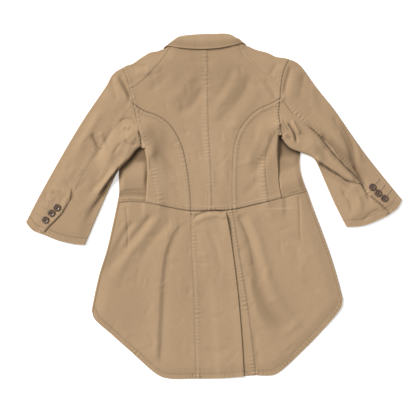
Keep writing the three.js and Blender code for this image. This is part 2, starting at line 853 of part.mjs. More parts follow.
// A flat button with four holes.
function button() {
  const circle = (x, y, radius, sides) =>
    Array.from({ length: sides }, (_, k) => {
      const angle = (2 * Math.PI * k) / sides;
      return new THREE.Vector2(x + radius * Math.cos(angle), y + radius * Math.sin(angle));
    });
  const disc = new THREE.Shape(circle(0, 0, BUTTON.radius, BUTTON.sides));
  for (const [sx, sy] of [[1, 1], [-1, 1], [-1, -1], [1, -1]]) {
    const rim = circle(sx * BUTTON.spread, sy * BUTTON.spread, BUTTON.hole, BUTTON.holeSides);
    disc.holes.push(new THREE.Path(rim));
  }
  return new THREE.ExtrudeGeometry(disc, { depth: BUTTON.thickness, bevelEnabled: false });
}

// The height of the highest cloth under a button.
function under([x, y]) {
  let highest = 0;
  for (let k = 0; k < BUTTON.sides; k += 1) {
    const angle = (2 * Math.PI * k) / BUTTON.sides;
    for (const r of [0, BUTTON.radius]) {
      highest = Math.max(highest, top(x + r * Math.cos(angle), y + r * Math.sin(angle)));
    }
  }
  return highest + CLOTH / 2;
}

// The jacket

const twill = new THREE.MeshStandardMaterial({ color: 0xb2946d, roughness: 0.92, metalness: 0 });
const horn = new THREE.MeshStandardMaterial({ color: 0x4a3428, roughness: 0.45, metalness: 0 });
const tailcoat = new THREE.Group();

function add(name, geometry, material = twill) {
  const mesh = new THREE.Mesh(geometry, material.clone());
  mesh.name = name;
  tailcoat.add(mesh);
  return mesh;
}

for (const half of [left, right]) {
  add(`centre_back_${half.side}`, centreBack(half));
  add(`side_back_${half.side}`, sideBack(half));
  add(`side_panel_${half.side}`, sidePanel(half));
  add(`front_${half.side}`, front(half));
  add(`skirt_${half.side}`, skirt(half));
  add(`top_sleeve_${half.side}`, topSleeve(half));
  add(`under_sleeve_${half.side}`, underSleeve(half));
  half.buttons.forEach((place, i) => {
    const mesh = add(`button_${half.side}_${i + 1}`, button(), horn);
    mesh.position.set(place[0], place[1], under(place) + BUTTON.gap);
  });
}
add("centre_tail", centreTail());
add("vent_underlap", ventUnderlap());
add("collar_fall", collarFall());
add("collar_stand", collarStand());

export default tailcoat;
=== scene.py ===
import math
from types import SimpleNamespace
import bmesh
import bpy
import numpy as np
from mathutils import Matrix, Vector


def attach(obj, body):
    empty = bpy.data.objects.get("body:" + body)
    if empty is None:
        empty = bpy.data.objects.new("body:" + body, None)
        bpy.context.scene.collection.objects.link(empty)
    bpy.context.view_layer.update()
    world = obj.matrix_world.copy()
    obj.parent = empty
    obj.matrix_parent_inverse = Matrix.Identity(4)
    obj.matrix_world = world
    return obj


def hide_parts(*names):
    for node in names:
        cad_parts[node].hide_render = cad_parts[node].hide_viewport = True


# A tan twill tailcoat jacket, laid flat on its front and seen from above. The plan tables are in
# millimetres, X across the back and Y up to the collar, and meshes are made in metres. Left and right
# are the picture's. Side 1 of a line is on the left of its direction, and side -1 on its right.
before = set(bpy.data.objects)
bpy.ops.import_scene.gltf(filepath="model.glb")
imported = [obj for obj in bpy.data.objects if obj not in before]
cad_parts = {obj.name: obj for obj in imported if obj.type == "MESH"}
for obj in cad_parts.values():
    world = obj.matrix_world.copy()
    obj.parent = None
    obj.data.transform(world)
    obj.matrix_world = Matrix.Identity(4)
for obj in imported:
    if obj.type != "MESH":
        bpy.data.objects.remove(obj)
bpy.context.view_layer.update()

MM = 0.001
CLOTH, LAYER, SEAM_GAP = 1.2, 1.75, 0.03

# Steps of the cloth's meshes: fine, broad, along the skirts and on hidden layers, and small ones in
# a band along each edge
FINE, BROAD, SKIRT_ROWS, UNDER_STEP = 2.3, 3.4, 2.55, 8.0
EDGE_STEP, EDGE_BAND = 1.1, 9.0
# Steps of the plan curves, of the straight cells that stand for them, and of the height grid
CURVE_STEP, CURVE_CELLS, LINE_CELL, GRID_STEP = 1.0, 24, 3, 0.75
# What stands for far away, where no line is near
FAR = 1e3
# Folded edges: steps round one, how far inside it the layers' heights are taken, and how many times
# its depth the cloth beside it gives way
ARC_STEPS, FOLD_PROBE, FOLD_ROOM = 8, 2.2, 6
# Edges sharper than these angles stay sharp
RIM_ANGLE, BUTTON_ANGLE = 58, 40

# Heights of the middle of the cloth over the floor
FLOOR_SHEET = CLOTH / 2
SECOND = FLOOR_SHEET + LAYER
THIRD = FLOOR_SHEET + 2 * LAYER
SKIRT, SKIRT_MIDDLE, BACK, SLEEVE = 3.2, 4.4, 4.4, 3.5
ARMPIT_TOP, ARMPIT_BELOW, TUCK_TOP = 6.1, 4.2, 5.95

# Where the top rises over the hidden layers: the fronts' lap, the front hem, the back and the sleeves
FRONT_MIDDLE, FRONT_LAP, FRONT_RISE, FRONT_CLEARANCE = -8, 19, 22, 3
HEM_RISE, BACK_RISE, SLEEVES = 120, 70, (190, 250)
VENT_LAP, VENT_RISE, VENT_CLEARANCE = 48, 22, 2
UNDERLAP_CORNER = (-18, -15)
TUCK = dict(top=26, waist=12, clearance=4, ramp_out=12, ramp_in=28, fade=38, above=170, gone=215)
ARMPIT_FLAT, ARMPIT_FADE = 27, 76
LEAF_RISE = (2, 20)
# How far the loose cloth on top stands proud inside its outline and by the armpits, and how much less
# of it there is beside the right tuck: the share, the reach and the heights where that fades
PUFF, PUFF_REACH, ARMPIT_PUFF = 3.4, 34, 6.0
CALM, CALM_REACH, CALM_FADE, CALM_FROM = 0.95, 26, (60, 150), -4
# How strong the creases and puckers are, and how far below its rest the top may sink, and how softly
RELIEF, PUCKER_RELIEF = 1.55, 1.6
DEEPEST, EASE = 0.8, 0.35
# How far the open edge of the tail gapes, most of all near its top, and where that fades
FLAP_GAPE, FLAP_LIFT, FLAP_LIFT_AT, FLAP_LIFT_REACH = 1.2, 3.0, -34, 34
FLAP_FADE, FLAP_TOP = 22, (-24, -12)
BUTTON_RADIUS, BUTTON_GAP = 8.5, 0.3

# Plan lines, each through its points
LEFT = dict(
    shoulder_edge=[(-121, 369.5), (-134, 365), (-150, 362), (-172, 349), (-193, 335), (-204, 332),
                   (-215, 326)],
    neck_edge=[(-100, 377.5), (-112, 372.5), (-121, 369.5)],
    shoulder_seam=[(-100, 377.5), (-118, 349), (-150, 312), (-172, 291), (-196, 274)],
    sleeve_outer=[(-215, 326), (-228, 319), (-240, 308), (-251, 287), (-307, 204), (-363, 110),
                  (-415, 16), (-442, -37)],
    cuff=[(-442, -37), (-425, -56), (-404, -64), (-367, -79), (-327, -88), (-303, -90)],
    sleeve_inner=[(-169, 142), (-181, 134), (-197, 114), (-222, 87), (-244, 45), (-268, -8),
                  (-291, -62), (-303, -90)],
    armhole=[(-215, 326), (-204, 302), (-196, 274), (-188, 241), (-180, 199), (-173, 171), (-169, 142)],
    lower_armhole=[(-215, 326), (-204, 286), (-195, 251), (-189, 205), (-178, 168), (-169, 142)],
    forearm_seam=[(-189, 205), (-222, 150), (-262, 85), (-300, 10), (-345, -84)],
    elbow_seam=[(-190, 248), (-209, 215), (-249, 164), (-291, 103), (-338, 16), (-367, -29), (-404, -64)],
    princess=[(-188, 241), (-164, 225), (-134, 214), (-108, 197), (-89, 172), (-73, 136), (-62, 84),
              (-56, 35), (-54, -10)],
    side_seam=[(-173, 171), (-156, 131), (-146, 86), (-142, 58), (-133, 5)],
    tuck_edge=[(-165, 147), (-159, 117), (-156, 86), (-157, 56), (-160, 9.4)],
    sunk_top=[(-165, 150), (-214, 140)],
    side_edge=[(-214, 140), (-217, 112), (-223, 86), (-223, 30), (-227, 9)],
    front_side=[(-215, 326), (-204, 286), (-195, 251), (-189, 205), (-197, 161), (-214, 130),
                (-223, 86), (-223, 30), (-227, 9)],
    waist=[(-227, 9), (-193, 12), (-150, 8), (-103, -2), (-54, -10), (-4, -10)],
    front_waist=[(-227, 9), (-120, 4), (11, 0)],
    neckline=[(-121, 369.5), (-94, 338), (-60, 292), (-24, 244), (7, 205)],
    front_edge=[(7, 205), (11, 100), (11, 0)],
    skirt_edge=[(-227, 9), (-237, -38), (-251, -99), (-270, -161), (-283, -219), (-288, -246)],
    hem=[(-42, -404), (-103, -404), (-129, -397), (-197, -339), (-244, -297), (-280, -264), (-288, -246)],
    vent_seam=[(-54, -10), (-52, -102), (-47, -196), (-44, -313), (-42, -404)],
    skirt_front_edge=[(11, 0), (11, -119)],
    collar_end=[(-119, 373), (-85, 398)],
    leaf_outer=[(-119, 373), (-113, 335), (-90, 298), (-64, 268)],
    leaf_inner=[(-85, 398), (-68, 355), (-50, 318), (-36, 294)],
    armpit=[(-172, 150), (-216, 104)],
)
RIGHT = dict(
    shoulder_edge=[(80, 376.5), (101, 368), (127, 361), (146, 352), (167, 349), (176, 346)],
    neck_edge=[(56, 385), (68, 381), (80, 376.5)],
    shoulder_seam=[(56, 385), (64, 364), (76, 345), (94, 328), (118, 313), (139, 300), (157, 281)],
    sleeve_outer=[(176, 346), (190, 341), (202, 332), (242, 278), (283, 227), (348, 133), (423, 39),
                  (442, 16)],
    cuff=[(442, 16), (430, -4), (414, -16), (385, -32), (348, -45), (311, -48)],
    sleeve_inner=[(157, 161), (179, 137), (209, 125), (228, 117), (239, 105), (261, 57), (284, 5),
                  (311, -48)],
    armhole=[(176, 346), (164, 319), (157, 281), (155, 253), (152, 218), (155, 187), (157, 161)],
    lower_armhole=[(176, 346), (170, 310), (166, 270), (163, 230), (161, 200), (157, 161)],
    forearm_seam=[(163, 230), (205, 178), (258, 105), (305, 30), (352, -44)],
    elbow_seam=[(155, 255), (176, 230), (212, 196), (263, 146), (315, 90), (364, 24), (414, -16)],
    princess=[(155, 253), (132, 241), (103, 227), (78, 205), (59, 177), (48, 143), (44, 98), (43, 39),
              (45, -7)],
    side_seam=[(155, 187), (136, 159), (123, 124), (121, 86), (129, 13)],
    tuck_edge=[(152, 172), (150, 129), (151, 91), (152, 60), (158, 22)],
    sunk_top=[(152, 172), (204, 158)],
    side_edge=[(204, 158), (204, 133), (201, 110), (203, 84), (212, 53), (219, 36)],
    front_side=[(176, 346), (170, 310), (166, 270), (163, 230), (161, 200), (176, 176), (196, 158),
                (203, 133), (201, 110), (203, 84), (212, 53), (219, 36)],
    waist=[(219, 36), (179, 26), (127, 12), (89, 3), (45, -7), (-4, -10)],
    front_waist=[(219, 36), (100, 14), (-27, 0)],
    neckline=[(80, 376.5), (60, 338), (32, 292), (0, 244), (-27, 205)],
    front_edge=[(-27, 205), (-27, 100), (-27, 0)],
    skirt_edge=[(219, 36), (235, -9), (254, -59), (275, -118), (294, -182), (303, -219)],
    hem=[(99, -396), (122, -397), (146, -393), (209, -338), (261, -284), (298, -237), (303, -219)],
    vent_seam=[(45, -7), (54, -71), (65, -139), (75, -200), (86, -278), (94, -344), (99, -396)],
    skirt_front_edge=[(-27, 0), (-27, -121)],
    collar_end=[(76, 380), (56, 392)],
    leaf_outer=[(76, 380), (78, 340), (60, 300), (36, 268)],
    leaf_inner=[(56, 392), (40, 350), (22, 318), (8, 294)],
    armpit=[(160, 160), (206, 128)],
)
MIDDLE = dict(
    neck_seam=[(-100, 377.5), (-80, 383), (-33, 386), (14, 387), (56, 385)],
    centre_seam=[(-14, 386), (-14, 274), (-12, 180), (-7, 91), (-4, -10)],
    collar_low=[(-119, 373), (-108, 376), (-80, 372), (-33, 369), (14, 372), (52, 380), (68, 384),
                (76, 380)],
    collar_roll=[(-85, 398), (-66, 401), (-28, 404), (0, 404.5), (26, 405), (40, 402), (56, 392)],
    flap_edge=[(27, -12), (35, -50), (45, -118), (56, -208), (65, -313), (70, -399)],
    flap_hem=[(-42, -404), (-9, -404), (33, -402), (70, -399)],
    underlap_hem=[(22, -401), (70, -398), (99, -396)],
    front_hem=[(-288, -246), (-262, -236), (-225, -205), (-180, -172), (-120, -143), (-60, -126),
               (0, -119), (70, -122), (135, -136), (195, -160), (240, -188), (280, -212), (303, -219)],
)

# The creases of the cloth on top. Each runs along its line, from one width to another, and dies out
# over a share of its length at each end. A positive height is a ridge and a negative one a trough. The
# flank on the left of the line is wider by left, the one on its right by right.
CREASES = [
    # height, width, left, right, fade in, fade out, line
    # Skirts
    (1.25, (7, 11), 0.42, 2.4, 0.22, 0.08, [(-58, -26), (-86, -46), (-104, -78), (-117, -121),
                                            (-124, -184), (-128, -266), (-134, -374)]),
    (-0.6, (6, 8), 1.6, 0.8, 0.15, 0.10, [(-50, -30), (-77, -50), (-95, -82), (-108, -125),
                                          (-114, -188), (-119, -266), (-124, -370)]),
    (-1.9, (7, 13), 1, 1, 0.10, 0.35, [(-143, -16), (-180, -62), (-218, -108), (-254, -168)]),
    (1.2, (8, 12), 1, 1, 0.10, 0.30, [(-122, -16), (-160, -66), (-205, -122), (-240, -190)]),
    (-1.9, (7, 9), 1, 1, 0.15, 0.35, [(-184, -28), (-212, -68), (-236, -116), (-256, -164)]),
    (-0.9, (8, 10), 1, 1, 0.20, 0.40, [(-96, -22), (-128, -62), (-160, -104), (-182, -160)]),
    (-2.2, (8, 15), 1.0, 1.0, 0.04, 0.20, [(58, -16), (80, -66), (96, -130), (112, -200), (142, -262),
                                           (196, -306)]),
    (1.5, (8, 15), 1.0, 1.0, 0.10, 0.25, [(74, -16), (101, -66), (118, -130), (138, -196), (172, -252),
                                          (220, -286)]),
    (1.1, (6, 12), 1.0, 1.0, 0.10, 0.25, [(84, -158), (92, -214), (114, -276), (150, -320)]),
    (-1.0, (9, 14), 1, 1, 0.15, 0.40, [(96, -18), (140, -60), (184, -92), (214, -162)]),
    (0.9, (8, 12), 1, 1, 0.15, 0.40, [(122, -14), (164, -50), (206, -78)]),
    (-0.9, (6, 8), 1, 1, 0.30, 0.30, [(92, -280), (100, -330), (106, -384)]),
    (0.8, (9, 9), 1, 1, 0.30, 0.30, [(150, -300), (176, -290), (206, -262)]),
    (-0.7, (7, 7), 1, 1, 0.30, 0.30, [(208, -170), (226, -184), (250, -204)]),
    (-0.9, (2.6, 2.2), 1, 1, 0.02, 0.30, [(-206, -1), (-204, -31), (-202, -67), (-203, -97),
                                          (-207, -116)]),
    (-0.9, (2.6, 2.2), 1, 1, 0.02, 0.30, [(199, 23), (201, -20), (202, -59), (204, -95)]),
    (-1.0, (7, 9), 1, 1, 0.25, 0.30, [(-22, -44), (0, -80), (14, -128), (18, -160)]),
    (0.8, (7, 10), 1, 1, 0.20, 0.30, [(-38, -58), (-22, -110), (-16, -190)]),
    (-0.7, (8, 10), 1, 1, 0.30, 0.30, [(-30, -236), (-8, -258), (26, -262)]),
    (-0.6, (7, 9), 1, 1, 0.30, 0.30, [(-28, -330), (6, -342), (40, -330)]),
    (-1.2, (3.5, 3.5), 1, 1, 0.10, 0.10, [(-49, -29), (-38, -20), (-14, -12), (9, -10), (27, -17)]),
    (1.3, (6, 6), 1, 1, 0.10, 0.10, [(-47, -40), (-34, -30), (-10, -22), (12, -20), (28, -28)]),
    # Back
    (-1.2, (14, 13), 1.2, 1, 0.25, 0.25, [(-146, 205), (-143, 176), (-130, 138), (-96, 92), (-74, 66)]),
    (1.1, (11, 11), 1, 1, 0.25, 0.25, [(-168, 200), (-160, 150), (-138, 104), (-108, 66)]),
    (-1.6, (9, 11), 1, 1, 0.25, 0.30, [(138, 196), (130, 136), (106, 98), (92, 66)]),
    (0.9, (10, 10), 1, 1, 0.25, 0.30, [(118, 214), (104, 158), (84, 110), (74, 70)]),
    (-1.1, (11, 11), 1, 1, 0.20, 0.30, [(88, 320), (67, 268), (26, 212), (10, 176)]),
    (0.7, (10, 12), 1, 1, 0.25, 0.30, [(64, 330), (42, 280), (6, 226), (-12, 190)]),
    (-0.7, (9, 10), 1, 1, 0.20, 0.30, [(48, 334), (30, 290), (2, 250)]),
    (0.7, (12, 12), 1, 1, 0.25, 0.25, [(108, 300), (90, 250), (54, 200), (30, 150)]),
    (-1.5, (13, 13), 1, 1, 0.25, 0.30, [(-26, 286), (-50, 240), (-92, 216)]),
    (1.1, (13, 13), 1, 1, 0.25, 0.30, [(-40, 320), (-76, 270), (-120, 240)]),
    (-1.0, (12, 10), 1, 1, 0.25, 0.25, [(-104, 324), (-124, 292), (-156, 268)]),
    (-0.8, (9, 9), 1, 1, 0.30, 0.30, [(-60, 350), (-30, 340), (6, 344)]),
    (-0.8, (8, 9), 1, 1, 0.30, 0.30, [(-34, 196), (-26, 150), (-22, 100)]),
    (0.7, (10, 10), 1, 1, 0.30, 0.30, [(20, 150), (26, 100), (26, 40)]),
    (-0.7, (8, 8), 1, 1, 0.30, 0.30, [(-96, 60), (-84, 34), (-74, 14)]),
    (-0.8, (9, 9), 1, 1, 0.30, 0.30, [(110, 70), (88, 44), (66, 24)]),
    (-1.0, (6, 5), 1, 1, 0.20, 0.20, [(-196, 333), (-174, 328), (-154, 327)]),
    (0.8, (6, 6), 1, 1, 0.20, 0.20, [(-184, 316), (-164, 312), (-146, 316)]),
    (-0.9, (6, 5), 1, 1, 0.20, 0.20, [(118, 300), (132, 280), (146, 260)]),
    (0.9, (5, 5), 1, 1, 0.20, 0.20, [(106, 292), (122, 272), (140, 254)]),
    (-0.8, (6, 6), 1, 1, 0.20, 0.20, [(150, 338), (140, 322), (132, 306)]),
    # Left sleeve
    (1.9, (7, 6), 1, 1, 0.20, 0.25, [(-236, 306), (-222, 286), (-208, 262), (-198, 242)]),
    (-1.8, (6, 5), 1, 1, 0.15, 0.20, [(-224, 310), (-211, 288), (-200, 266), (-196, 250)]),
    (-1.2, (6, 6), 1, 1, 0.20, 0.30, [(-244, 300), (-232, 270), (-226, 246)]),
    (-2.4, (6, 6), 1, 1, 0.20, 0.30, [(-286, 174), (-274, 146), (-266, 126)]),
    (1.3, (6, 6), 1, 1, 0.20, 0.30, [(-268, 178), (-258, 148), (-250, 122)]),
    (-1.3, (6, 10), 1, 1, 0.20, 0.30, [(-232, 196), (-256, 150), (-290, 96)]),
    (1.0, (8, 10), 1, 1, 0.25, 0.30, [(-262, 232), (-292, 178), (-330, 114)]),
    (2.0, (6, 9), 0.6, 1.6, 0.15, 0.35, [(-219, 93), (-240, 68), (-258, 42), (-276, 18), (-300, -14)]),
    (-1.5, (6, 8), 1, 1, 0.15, 0.35, [(-232, 60), (-262, 24), (-284, -8), (-306, -50)]),
    (-1.4, (7, 7), 1, 1, 0.20, 0.30, [(-236, 96), (-262, 62), (-298, 24)]),
    (-1.2, (4, 4), 1, 1, 0.20, 0.20, [(-383, 36), (-362, 25), (-336, 8)]),
    (1.0, (4, 4), 1, 1, 0.20, 0.20, [(-378, 46), (-356, 36), (-330, 18)]),
    (-0.8, (5, 6), 1, 1, 0.30, 0.30, [(-352, 70), (-334, 40), (-322, 12)]),
    (-0.8, (4, 4), 1, 1, 0.20, 0.20, [(-214, 186), (-204, 178), (-192, 172)]),
    (-1.0, (4, 4), 1, 1, 0.20, 0.20, [(-226, 172), (-210, 168), (-196, 158), (-186, 160)]),
    (1.5, (4, 4), 1, 1, 0.20, 0.20, [(-216, 184), (-208, 186), (-196, 184)]),
    (-1.0, (3.6, 3.6), 1, 1, 0.20, 0.20, [(-220, 194), (-214, 203), (-200, 206), (-188, 202),
                                          (-180, 186)]),
    (-1.0, (3.6, 3.6), 1, 1, 0.20, 0.20, [(-209, 158), (-202, 149), (-192, 145), (-180, 147)]),
    (1.1, (4, 4), 1, 1, 0.20, 0.20, [(-206, 166), (-194, 158), (-182, 160)]),
    (-1.1, (4, 5), 1, 1, 0.20, 0.20, [(-214, 150), (-226, 138), (-236, 120)]),
    (-0.8, (5, 5), 1, 1, 0.20, 0.20, [(-396, 34), (-390, 14), (-378, 4)]),
    # Right sleeve
    (0.7, (8, 8), 1.6, 1, 0.20, 0.25, [(202, 330), (186, 290), (178, 244)]),
    (-1.3, (5, 5), 1, 1, 0.15, 0.25, [(182, 332), (171, 296), (164, 258)]),
    (-0.7, (7, 8), 1, 1, 0.20, 0.30, [(214, 316), (206, 280), (202, 244)]),
    (0.7, (8, 9), 1, 1, 0.20, 0.30, [(232, 288), (234, 250), (244, 214)]),
    (-3.0, (8, 8), 1, 1, 0.15, 0.25, [(278, 214), (298, 192), (311, 167), (321, 142), (326, 116),
                                      (330, 86), (342, 62)]),
    (1.9, (9, 9), 1, 1, 0.15, 0.25, [(296, 214), (322, 176), (338, 138), (346, 100)]),
    (-2.6, (5, 8), 1, 1.3, 0.15, 0.20, [(214, 202), (244, 174), (276, 144), (314, 104), (344, 68),
                                        (366, 38)]),
    (1.5, (5, 5), 1, 1, 0.20, 0.30, [(262, 168), (292, 122), (312, 92)]),
    (1.6, (6, 6), 1.6, 0.6, 0.12, 0.15, [(238, 112), (260, 100), (280, 88), (299, 77), (318, 66),
                                         (334, 56)]),
    (-1.4, (7, 8), 0.6, 1.8, 0.10, 0.15, [(240, 98), (262, 85), (284, 72), (306, 58), (328, 46)]),
    (1.3, (5, 5), 1, 1, 0.15, 0.15, [(236, 158), (262, 132), (286, 104), (310, 82), (334, 58)]),
    (-1.3, (6, 6), 1, 1, 0.20, 0.30, [(300, 40), (318, 14), (326, -22)]),
    (1.2, (7, 7), 1, 1, 0.20, 0.30, [(322, 52), (338, 22), (346, -22)]),
    (-1.2, (5, 6), 1, 1, 0.20, 0.30, [(346, 62), (356, 34), (368, 4)]),
    (-2.2, (3.6, 3.6), 1, 1, 0.20, 0.20, [(172, 199), (181, 185), (189, 171), (195, 146)]),
    (1.8, (3.6, 3.6), 1, 1, 0.20, 0.20, [(182, 204), (192, 186), (202, 168)]),
    (-1.6, (3.6, 3.6), 1, 1, 0.20, 0.20, [(155, 194), (164, 166)]),
    (-0.9, (5, 5), 1, 1, 0.20, 0.20, [(394, -6), (372, -14), (346, -36)]),
]

# Slits at the cuffs and overlaps: the cloth on the left of the line lies higher by the height
STEPS = [
    # height, width, reach, line
    (3.6, 1.6, 24, [(-273, 25), (-263, 39), (-247, 61), (-225, 87), (-212, 100)]),
    (2.2, 1.6, 24, [(-335, 33), (-338, 16), (-345, 2), (-355, -15), (-369, -30), (-390, -51),
                    (-404, -64)][::-1]),
    (3.4, 1.8, 22, [(232, 114), (240, 109), (266, 93), (289, 78), (311, 63), (333, 56)]),
    (2.6, 1.6, 22, [(360, 30), (371, 18), (385, 6), (400, -5), (414, -16)][::-1]),
]

# Small wrinkles of the soft cloth, strewn over zones: left, right, low, high, count, heading in degrees
WRINKLE_ZONES = [
    (-150, 120, 60, 350, 36, 100), (-150, 120, 60, 350, 26, 20), (-280, 290, -380, -20, 60, 80),
    (-280, 290, -380, -20, 36, 10), (-400, -200, -60, 280, 46, 60), (200, 400, -20, 300, 46, 125),
]
# How those wrinkles may come out: sizes in mm, and how far they turn and bend
WRINKLE = dict(
    length=(16, 58), width=(3.2, 7.5), widening=(0.7, 1.4), height=(0.15, 0.5), spread=34, bend=0.22,
    fade=0.35, seed=11)

# Sewn seams. band is the width of the seam allowance that makes a raised edge on one side of the line
# (side 1 is left of its direction) and rows are how far the topstitching lies from the line.
SEAMS = [
    # line, half, side, band, rise, pucker, painted shade at start and end, rows
    ("centre_seam", "middle", -1, 11.5, 0.45, 0.42, (0.10, 0.22), (2.0, 10.5)),
    ("princess", "left", -1, 9.5, 1.0, 0.30, (0.90, 0.16), (2.0, 8.5)),
    ("princess", "right", 1, 9.5, 0.9, 0.38, (0.75, 0.20), (2.0, 8.5)),
    ("shoulder_seam", "left", -1, 9.5, 0.50, 0.24, (0.12, 0.05), (2.0, 8.5)),
    ("shoulder_seam", "right", 1, 9.5, 0.50, 0.24, (0.12, 0.05), (2.0, 8.5)),
    ("armhole", "left", 1, 8.0, 0.75, 0.38, (0.50, 0.60), (6.5,)),
    ("armhole", "right", -1, 8.0, 0.75, 0.46, (0.50, 0.50), (6.5,)),
    ("waist", "left", 1, 8.5, 1.2, 0.18, (0.90, 0.95), (2.0, 7.5)),
    ("waist", "right", -1, 8.5, 1.2, 0.18, (0.90, 0.95), (2.0, 7.5)),
    ("side_seam", "left", 1, 13.5, 0.55, 0.32, (0.08, 0.20), (2.0, 12.0)),
    ("side_seam", "right", -1, 13.5, 0.55, 0.32, (0.08, 0.20), (2.0, 12.0)),
    ("vent_seam", "left", 1, 11.0, 0.50, 0.46, (0.26, 0.28), (2.0, 10.0)),
    ("vent_seam", "right", -1, 11.0, 0.50, 0.46, (0.26, 0.30), (2.0, 10.0)),
    ("elbow_seam", "left", -1, 9.0, 0.35, 0.50, (0.0, 0.10), ()),
    ("elbow_seam", "right", 1, 8.0, 0.40, 0.42, (0.12, 0.12), ()),
]
# Turned hems: the stitching lies inside the edge, and the cloth is raised between the two
HEMS = [
    # line, half, side, band, rise, pucker
    ("hem", "left", -1, 12.0, 0.5, 0.50),
    ("hem", "right", 1, 12.0, 0.6, 0.90),
    ("flap_hem", "middle", 1, 12.0, 0.5, 0.30),
    ("skirt_edge", "left", 1, 5.0, 0.2, 0.25),
    ("skirt_edge", "right", -1, 5.0, 0.2, 0.25),
    ("cuff", "left", 1, 16.0, 0.3, 0.16),
    ("cuff", "right", -1, 16.0, 0.3, 0.16),
]

# Broad patches of painted shade on the cloth, darker where positive, and of painted light where negative
PAINTED_SHADE_AND_LIGHT_PATCHES = [
    # x, y, reach across, reach along, strength
    (-72, 300, 62, 46, 0.24), (30, 318, 52, 34, 0.20), (58, 268, 36, 46, 0.14), (-130, 170, 22, 46, 0.10),
    (-20, 130, 44, 90, -0.24), (-130, 60, 26, 44, -0.12), (96, 60, 26, 50, -0.10),
    (112, 150, 30, 50, 0.18),
    (140, -250, 40, 50, 0.20), (-128, -250, 40, 110, -0.08), (-230, -120, 30, 70, 0.14),
    (10, -120, 34, 90, -0.08),
    (-276, 120, 46, 60, 0.02), (318, 130, 30, 60, 0.22), (-36, 372, 90, 12, 0.20),
    (210, 260, 30, 40, 0.12),
    (180, 330, 24, 26, 0.16), (-216, 300, 22, 22, 0.16), (196, -60, 50, 60, -0.06),
    (-60, -120, 30, 70, 0.06),
]

# Deep folds that little light reaches: how dark, how wide at each end, and where
SHADED_FOLDS = [
    (0.80, 7, 11, [(232, 198), (252, 172), (286, 140), (318, 108), (346, 72), (364, 40)]),
    (0.45, 5, 6, [(250, 88), (276, 72), (300, 58), (322, 44), (342, 28)]),
    (0.80, 7, 9, [(286, 212), (299, 192), (311, 167), (321, 142), (326, 116), (330, 84), (342, 60)]),
    (0.40, 4, 5, [(360, 34), (372, 22), (390, 8), (412, -10)]),
    (0.35, 8, 18, [(84, -80), (98, -140), (114, -206), (146, -266), (196, -306)]),
    (0.14, 6, 10, [(-196, -46), (-222, -88), (-244, -134), (-258, -176)]),
    (0.12, 6, 10, [(-160, -44), (-196, -90), (-222, -128)]),
    (0.12, 3, 3, [(-58, -30), (-90, -56), (-108, -88), (-119, -130), (-124, -190), (-128, -270),
                  (-133, -374)]),
    (0.50, 4, 4, [(-224, 306), (-211, 286), (-200, 264), (-195, 248)]),
    (0.30, 5, 5, [(182, 330), (170, 296), (162, 262)]),
    (0.28, 7, 7, [(-150, 200), (-146, 172), (-134, 136), (-102, 94), (-80, 70)]),
    (0.25, 6, 8, [(130, 186), (122, 136), (100, 98), (88, 70)]),
    (0.50, 5, 4, [(-278, 176), (-272, 148), (-264, 128)]),
    (0.35, 4, 8, [(-236, 62), (-256, 36), (-276, 6), (-296, -40)]),
    (0.30, 3, 4, [(-337, 28), (-345, 2), (-357, -18), (-392, -54)]),
    (0.35, 3, 3, [(174, 196), (183, 182), (192, 164)]),
    (0.28, 8, 8, [(86, 316), (64, 266), (26, 212)]),
    (0.25, 7, 7, [(-28, 284), (-54, 240), (-92, 216)]),
    (0.30, 2.5, 2.5, [(-46, -28), (-34, -19), (-10, -13), (24, -17)]),
    (0.25, 2, 2, [(-205, -4), (-202, -67), (-206, -110)]),
    (0.25, 2, 2, [(199, 20), (202, -59), (204, -92)]),
]

# How deep the darkest tight folds are
TIGHT_DEPTH = 1.9
